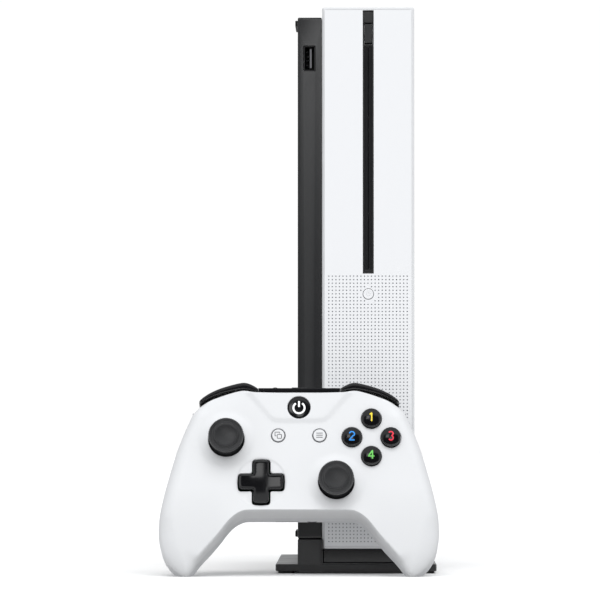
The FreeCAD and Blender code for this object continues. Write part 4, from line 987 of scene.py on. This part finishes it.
def build_battery_door():
    """The domed battery door, with the ridge that a finger pulls."""
    loop = spaced(round_box(-27.2, 27.2, 34.8, 75.2, 2.8, 6), 1.2)
    extra = np.vstack([beside(loop, d) for d in (0.1, 0.3, 0.7, 1.3, 2.1, 3.2, 4.6, 6.2)]
                      + [grid((-27.0, 35.0), (27.0, 75.0), 1.4)])
    flat, faces = triangles([loop], extra[inside(extra, loop)], region(loop))
    deep = 29.9 + 3.4 * (1.0 - rounding(gap_to(flat, loop), 7.0))
    ridge = np.abs(flat[:, 1] - 71.0)
    deep = deep - 0.5 * np.where(np.abs(flat[:, 0]) < 6.0, ease((2.2 - ridge) / 1.2), 0.0)
    points = at_depth(flat, deep)
    back = np.zeros_like(points)
    back[:, 1] = -1.5
    form = Form().add(thickened(points, faces[:, ::-1], back))
    piece(form, "battery_cover", leaned, "battery_door", [SHELL],
          ["battery_door"], crease=40)


# ---- bumpers, bridge, triggers ---------------------------------------------


def bumper_loops(side):
    """Sections along a bumper, from the bridge out to its closed tip."""
    top = smooth(BUMPER_TOP, 8, closed=False)
    under = smooth(BUMPER_UNDER, 16, closed=False)
    shares = np.linspace(0.0, 1.0, 46)
    lines = []
    for line in (top, under):
        run = run_along(line)
        run /= run[-1]
        lines.append(np.stack([np.interp(shares, run, line[:, k]) for k in (0, 1)], 1))
    section = smooth(((4.6, -1.0), (4.45, -0.7), (4.5, 0.1), (4.75, 0.62), (5.4, 0.9), (6.6, 1.0),
                      (11.0, 0.97), (16.4, 0.86), (17.3, 0.6), (17.4, -0.7), (16.9, -1.0),
                      (11.0, -1.0), (5.2, -1.04)), 4)
    loops = []
    for share, upper, lower in zip(shares, *lines):
        shrink = math.sqrt(max(0.0, 1.0 - max(0.0, (share - 0.95) / 0.05) ** 2)) * 0.75 + 0.25
        if share < 0.01:
            shrink = 0.93
        middle = (upper + lower) / 2
        half = (upper - lower) / 2 * shrink
        loop = []
        for deep, rise in section:
            deep = 11.0 + (deep - 11.0) * (0.5 + 0.5 * shrink)
            spot = middle + half * rise
            loop.append((side * spot[0], deep, spot[1]))
        loops.append(np.array(loop))
    return loops


def build_bumpers():
    """Both bumpers, each a skin through the sections along its length."""
    for name, side in (("left", -1), ("right", 1)):
        form = Form().add(rings(bumper_loops(side)))
        piece(form, name + "_bumper_cap", leaned, name + "_bumper", [GLOSS],
              [name + "_bumper"], crease=38)


def build_bridge():
    """The glossy top bridge between the bumpers, open above the charge socket."""
    front = [(4.55, 96.2), (10.5, 96.2), (10.5, 100.2), (5.1, 98.72), (4.75, 98.6),
             (4.55, 98.3)]
    rear = [(13.9, 96.2), (17.4, 96.2), (17.4, 100.5), (17.0, 100.9), (13.9, 100.9)]
    whole = [(4.55, 96.2), (17.4, 96.2), (17.4, 100.5), (17.0, 100.9), (13.0, 100.9),
             (5.1, 98.72), (4.75, 98.6), (4.55, 98.3)]
    form = Form()
    for section, x0, x1 in ((whole, -21.88, -4.2), (whole, 4.2, 21.88), (front, -4.2, 4.2),
                            (rear, -4.2, 4.2)):
        ends = [np.array([(x, y, z) for y, z in section]) for x in (x0, x1)]
        form.add(rings(ends))
    piece(form, "bridge_cap", leaned, "controller", [GLOSS], ["top_bridge"])
    key = spun([(0.001, 3.2), (1.1, 3.15), (1.5, 2.9), (1.6, 2.5), (1.6, 0.0)],
               (-13.0, 12.2, 97.7), axis="z", count=32)
    piece(Form().add(key), "pair_key", leaned, "pair_button", [TAG],
          ["pair_button"])


TRIGGER_SIDE = (
    (20.5, 92.3), (23.5, 94.9), (29.0, 96.2), (36.0, 94.9), (42.2, 91.2), (46.7, 85.8),
    (48.7, 79.5), (48.0, 75.6), (45.8, 76.6), (43.6, 81.2), (38.6, 85.4), (31.0, 86.2),
    (24.5, 83.2), (19.8, 81.7), (16.8, 83.7), (16.8, 87.8),
)


def build_triggers():
    """Both triggers: one side outline drawn out across, its ends rounded."""
    loop = spaced(smooth(TRIGGER_SIDE, 6), 0.9)
    half_wide = 12.0
    for name, low in (("left", -53.0), ("right", 29.0)):
        loops = []
        for share in np.linspace(-1.0, 1.0, 25):
            edge = max(0.0, (abs(share) - 0.82) / 0.18)
            inset = 0.9 * (1 - math.sqrt(1 - edge ** 2)) if edge < 1 else 0.9
            small = loop - left_of(loop) * inset
            run = np.full(len(loop), low + half_wide + half_wide * share)
            loops.append(np.stack((run, small[:, 0], small[:, 1]), 1))
        piece(Form().add(rings(loops)), name + "_trigger_blade", leaned, name + "_trigger",
              [GLOSS], [name + "_trigger"], crease=38)


# ---- controller controls ---------------------------------------------------


def build_sticks():
    def ribs(radius, place, turn):
        rim = ease((radius - 8.9) / 0.3) * ease((place + 10.1) / 0.5) * ease((-7.8 - place) / 0.5)
        return 0.16 * rim * np.cos(60 * turn)

    profile = [(0.001, -8.75)]
    for step in range(1, 27):
        reach = 0.2 * step
        profile.append((reach, -8.75 - 0.0275 * reach ** 2 + 0.012 * (-1) ** step))
    profile += [(5.5, -9.6), (5.8, -9.8), (6.0, -10.15), (6.25, -10.32), (6.55, -10.25),
                (6.8, -9.9), (7.2, -9.7), (7.9, -9.72), (8.2, -9.95), (8.45, -10.2),
                (8.75, -10.25), (9.1, -10.0), (9.33, -9.5), (9.4, -8.9), (9.33, -8.2),
                (9.0, -7.7), (8.0, -7.3), (5.9, -6.9), (4.8, -6.4), (4.2, -5.4), (4.1, -3.6),
                (4.4, -2.6), (4.8, -1.75)]
    for step in range(1, 15):
        reach = 4.8 + (10.45 - 4.8) * step / 14
        profile.append((reach, STICK_PIVOT - math.sqrt(STICK_DOME ** 2 - reach ** 2)))
    for step in range(9):
        reach = 9.9 - (9.9 - 3.4) * step / 8
        profile.append((reach, STICK_PIVOT - math.sqrt(STICK_HOLLOW ** 2 - reach ** 2)))
    profile.extend([(1.6, -1.4), (1.6, 11.7), (0.001, 11.8)])
    for name, (x, z) in STICKS.items():
        form = Form().add(spun(profile, (x, 0.0, z), count=240, ribs=ribs))
        piece(form, name + "_thumb_stick", leaned, name + "_stick", [STICK],
              [name + "_stick"], crease=40)


def cross_depth(flat):
    """A shallow dish: highest at the arm ends."""
    reach = np.hypot(flat[:, 0], flat[:, 1])
    return -2.1 + 1.25 * (1.0 - (reach / CROSS_REACH) ** 2)


def build_cross():
    """The direction pad: a dished cross with a step inside its round edge."""
    loop = spaced(cross_loop(CROSS_REACH - GAP, CROSS_HALF - GAP), 0.5)
    extra = [beside(loop, d) for d in (0.1, 0.25, 0.45, 0.7, 0.9, 1.15)]
    lines = []
    for side in (-1, 1):
        for rise in (-1, 1):
            t = np.linspace(0.0, 3.4, 14)[:, None]
            lines.append(t * np.array([side, rise]))
    extra.append(apart(np.vstack(lines), np.vstack(extra), 0.3))
    inner = np.vstack(extra)
    filling = apart(grid((-13.0, -13.0), (13.0, 13.0), 0.8), inner, 0.4)
    free = np.vstack((inner, filling))
    flat, faces = triangles([loop], free[inside(free, loop)], region(loop))
    gap = gap_to(flat, loop)
    deep = cross_depth(flat) + 0.9 * rounding(gap, 0.7)
    deep = deep + 0.22 * ease((gap - 0.7) / 0.4)
    points = at_depth(flat + np.array(CROSS), deep)
    back = at_depth(flat * 0.0, 4.6 - deep)
    form = Form().add(thickened(points, faces, back))
    piece(form, "cross_pad", leaned, "direction_pad", [GLOSS],
          ["direction_pad"], crease=30)


def digits(x, z):
    """The strokes of the numerals 1 to 4, one for each face button."""
    h, w = 2.3, 1.35
    one = [polyline((x - 0.9, z + h - 0.9), (x + 0.15, z + h), (x + 0.15, z - h))]
    two = [np.vstack((arc(x, z + h - w, w, 165, -35, 18),
                      polyline((x + 0.6, z + 0.1), (x - w, z - h), (x + w + 0.1, z - h))))]
    three = [np.vstack((arc(x, z + 1.2, 1.15, 150, -80, 18), arc(x, z - 1.15, 1.2, 80, -150, 18)))]
    four = [polyline((x + 1.55, z - 0.85), (x - 1.6, z - 0.85), (x + 0.55, z + h),
                     (x + 0.55, z - h))]
    return {"top": one, "left": two, "right": three, "bottom": four}


def build_face_buttons():
    bulge = 11.0
    top = -2.85

    def dome(points, lift):
        reach = ((points - np.array(spot)) ** 2).sum(1)
        return at_depth(points, top + (bulge - np.sqrt(bulge ** 2 - reach)) - lift)

    for name, spot in face_spots().items():
        profile = []
        for step in range(13):
            reach = 0.001 + 4.7 * step / 12
            profile.append((reach, top + bulge - math.sqrt(bulge ** 2 - reach ** 2)))
        edge = profile[-1][1]
        profile.extend([(5.0, edge + 0.2), (5.18, edge + 0.5), (5.25, edge + 0.9), (5.25, 3.6)])
        form = Form().add(spun(profile, (spot[0], 0.0, spot[1]), count=64), 0)
        for line in digits(*spot)[name]:
            form.add(stroke(line, 0.72, 0.035, dome), 1)
        piece(form, "key_" + name, leaned, "face_button_" + name,
              [GLOSS, INKS[name]], ["face_button_" + name], crease=30)


def build_guide():
    def dome(points, lift):
        reach = points[:, 0] ** 2 + (points[:, 1] - GUIDE_Z) ** 2
        return at_depth(points, -0.85 + reach * 0.012 - lift)

    profile = [(0.001, -0.85)] + [(r, -0.85 + 0.012 * r * r) for r in (1.5, 3.0, 4.2, 5.2)]
    profile.extend([(5.7, -0.35), (5.9, 0.0), (GUIDE_RADIUS, 0.5), (GUIDE_RADIUS, 3.4)])
    form = Form().add(spun(profile, (0.0, 0.0, GUIDE_Z), count=72), 0)
    for line in standby(0.0, GUIDE_Z - 0.3, 3.0):
        form.add(stroke(line, 1.0, 0.035, dome), 1)
    piece(form, "guide_key", leaned, "guide_button", [GLOSS, PALE],
          ["guide_button"])


def build_menu_keys():
    def flat_top(points, lift):
        return at_depth(points, -0.45 - lift)

    profile = [(0.001, -0.45), (3.1, -0.45), (3.4, -0.38), (3.55, -0.2), (3.6, 0.1), (3.6, 3.4)]
    for name, x in (("view", -MENU_X), ("menu", MENU_X)):
        form = Form().add(spun(profile, (x, 0.0, MENU_Z), count=48), 0)
        # The grey ring near the key's edge is painted shade of the gap round the key.
        ring = circle(x, MENU_Z, 3.42, 48)
        form.add(stroke(ring, 0.34, 0.03, flat_top, closed=True), 1)
        if name == "menu":
            for step in (-1, 0, 1):
                z = MENU_Z + 1.15 * step
                form.add(stroke(polyline((x - 1.7, z), (x + 1.7, z)), 0.42, 0.03, flat_top), 1)
        else:
            front = round_box(x - 0.55, x + 1.75, MENU_Z - 1.75, MENU_Z + 0.45, 0.4, 4)
            form.add(stroke(front, 0.4, 0.03, flat_top, closed=True), 1)
            behind = polyline((x - 1.0, MENU_Z - 0.35), (x - 1.75, MENU_Z - 0.35),
                              (x - 1.75, MENU_Z + 1.7), (x + 0.7, MENU_Z + 1.7),
                              (x + 0.7, MENU_Z + 1.0))
            form.add(stroke(behind, 0.4, 0.03, flat_top), 1)
        piece(form, name + "_key", leaned, name + "_button", [SHELL, INK_AND_GAP_SHADE],
              [name + "_button"])


# ---- pieces that keep the CAD's own shape ----------------------------------

KEPT = {
    "rear_panel": MODULE, "rear_sockets": STEEL, "steel_chassis": STEEL, "chassis_screws": STEEL,
    "main_board": CIRCUIT, "heat_sink": ALLOY, "fan_frame": MODULE, "fan_rotor": MODULE,
    "power_supply": MODULE, "hard_drive": ALLOY, "disc_drive_case": STEEL, "feed_roller": RUBBER,
    "disc_spindle": STEEL, "optical_sled": NYLON, "batteries": CELL, "controller_board": CIRCUIT,
    "rubber_domes": DOME, "stick_bases": MODULE, "left_stick_yoke": NYLON,
    "right_stick_yoke": NYLON, "left_stick_rocker": NYLON, "right_stick_rocker": NYLON,
    "direction_pad_pivot": STEEL, "trigger_pins": STEEL, "rumble_motors": ALLOY,
    "left_rumble_weight": STEEL, "right_rumble_weight": STEEL,
}


def dress_kept():
    """Gives the pieces that keep the CAD's shape a material and slightly round edges."""
    for name, finish in KEPT.items():
        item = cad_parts[name]
        item.data.materials.clear()
        item.data.materials.append(finish)
        round_off = item.modifiers.new("edge", "BEVEL")
        round_off.width = 0.00015
        round_off.segments = 2
        round_off.limit_method = "ANGLE"


def dress_sockets():
    """The sockets soldered to the controller's board are dark metal."""
    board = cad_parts["controller_board"]
    board.data.materials.append(MODULE)
    for face in board.data.polygons:
        y, z = face.center.y / MM - STANCE_Y, face.center.z / MM - STANCE_Z
        rise = y * math.sin(LEAN) + z * math.cos(LEAN)
        if rise < 34.0 or rise > 95.0:
            face.material_index = 1


# ---- studio ----------------------------------------------------------------


def sheet_item(name, corners, finish, seen_by_camera, seen_in_gloss):
    """A studio card, which shows only where it is asked to and throws no shadow."""
    mesh = bpy.data.meshes.new(name)
    count = len(corners) // 2
    faces = [(k, k + 1, count + k + 1, count + k) for k in range(count - 1)]
    mesh.from_pydata(corners, [], faces)
    mesh.materials.append(finish)
    item = linked(name, mesh)
    item.visible_camera = seen_by_camera
    item.visible_glossy = seen_in_gloss
    item.visible_diffuse = False
    item.visible_shadow = False
    item.visible_transmission = False
    return item


def glow(name, level):
    found = bpy.data.materials.new(name)
    found.use_nodes = True
    shader = found.node_tree.nodes["Principled BSDF"]
    shader.inputs["Base Color"].default_value = (0.0, 0.0, 0.0, 1.0)
    shader.inputs["Specular IOR Level"].default_value = 0.0
    shader.inputs["Emission Color"].default_value = (1.0, 1.0, 1.0, 1.0)
    shader.inputs["Emission Strength"].default_value = level
    return found


def card(name, centre, wide, high, level):
    """An upright card that only shows in glossy surfaces."""
    x, y, z = centre
    corners = [(x - wide / 2, y, z - high / 2), (x + wide / 2, y, z - high / 2),
               (x - wide / 2, y, z + high / 2), (x + wide / 2, y, z + high / 2)]
    return sheet_item(name, corners, glow(name, level), False, True)


def build_floor():
    """Pale paper, a dimmer sheet beneath it that lights from below, and a backdrop."""
    half = 9.0
    mesh = bpy.data.meshes.new("floor")
    mesh.from_pydata([(-half, -half, 0), (half, -half, 0), (half, half, 0), (-half, half, 0)],
                     [], [(0, 1, 2, 3)])
    mesh.materials.append(coat("floor_paper", (0.93, 0.93, 0.93), 0.85, grain=300.0))
    floor = linked("floor", mesh)
    floor.visible_diffuse = False
    under = [(-half, -half, -0.02), (half, -half, -0.02), (-half, half, -0.02), (half, half, -0.02)]
    sheet = sheet_item("bounce", under, glow("bounce", 0.6), False, False)
    sheet.visible_diffuse = True
    turn = np.linspace(0.0, 2.0 * math.pi, 49)
    ring = [(half * 0.9 * math.cos(t), half * 0.9 * math.sin(t)) for t in turn]
    corners = [(x, y, -0.5) for x, y in ring] + [(x, y, 9.0) for x, y in ring]
    sheet_item("backdrop", corners, glow("backdrop_white", 1.02), True, False)


def build_studio():
    """Soft sky, a broad key light, and cards that only glossy surfaces see."""
    scene = bpy.context.scene
    scene.view_settings.view_transform = "Standard"
    world = bpy.data.worlds.new("studio")
    scene.world = world
    world.use_nodes = True
    sky = world.node_tree.nodes["Background"]
    sky.inputs["Color"].default_value = (0.98, 0.99, 1.0, 1.0)
    sky.inputs["Strength"].default_value = 0.82
    lamp = bpy.data.lights.new("key", "SUN")
    lamp.energy = 2.35
    lamp.angle = math.radians(50.0)
    key = linked("key", lamp)
    key.rotation_euler = (math.radians(42.0), 0.0, math.radians(4.0))
    key.visible_glossy = False
    card("front_flag", (0.0, -3.6, 1.45), wide=7.0, high=3.6, level=0.02)
    card("strip_glow", (0.05, -1.5, 0.53), wide=0.3, high=0.4, level=2.6)
    card("cross_glow", (-0.85, -2.4, 1.5), wide=0.9, high=1.0, level=2.6)
    low_flag = [(-3.5, -3.6, 0.002), (3.5, -3.6, 0.002), (-3.5, -0.32, 0.002),
                (3.5, -0.32, 0.002)]
    sheet_item("low_flag", low_flag, glow("low_flag", 0.02), False, True)


def build_camera():
    """A long lens in front of the row, slightly above its foot and tilted up."""
    lens = bpy.data.cameras.new("camera")
    lens.sensor_width = 36.0
    lens.lens = 286.56
    lens.clip_start = 0.1
    lens.clip_end = 60.0
    item = linked("camera", lens)
    item.location = (0.0305, -2.680, 0.0845)
    tilt, turn = math.radians(90.0 + 1.415), math.radians(0.672)
    item.rotation_euler = (tilt, 0.0, turn)
    bpy.context.scene.camera = item


build_front_panel()
build_top_cover()
build_cover_wall()
build_base_cover()
build_front_socket()
build_slot()
build_power_key()
build_stand()
build_front_shell()
build_rear_shell()
build_battery_door()
build_bumpers()
build_bridge()
build_triggers()
build_sticks()
build_cross()
build_face_buttons()
build_guide()
build_menu_keys()
dress_kept()
dress_sockets()
build_floor()
build_studio()
build_camera()
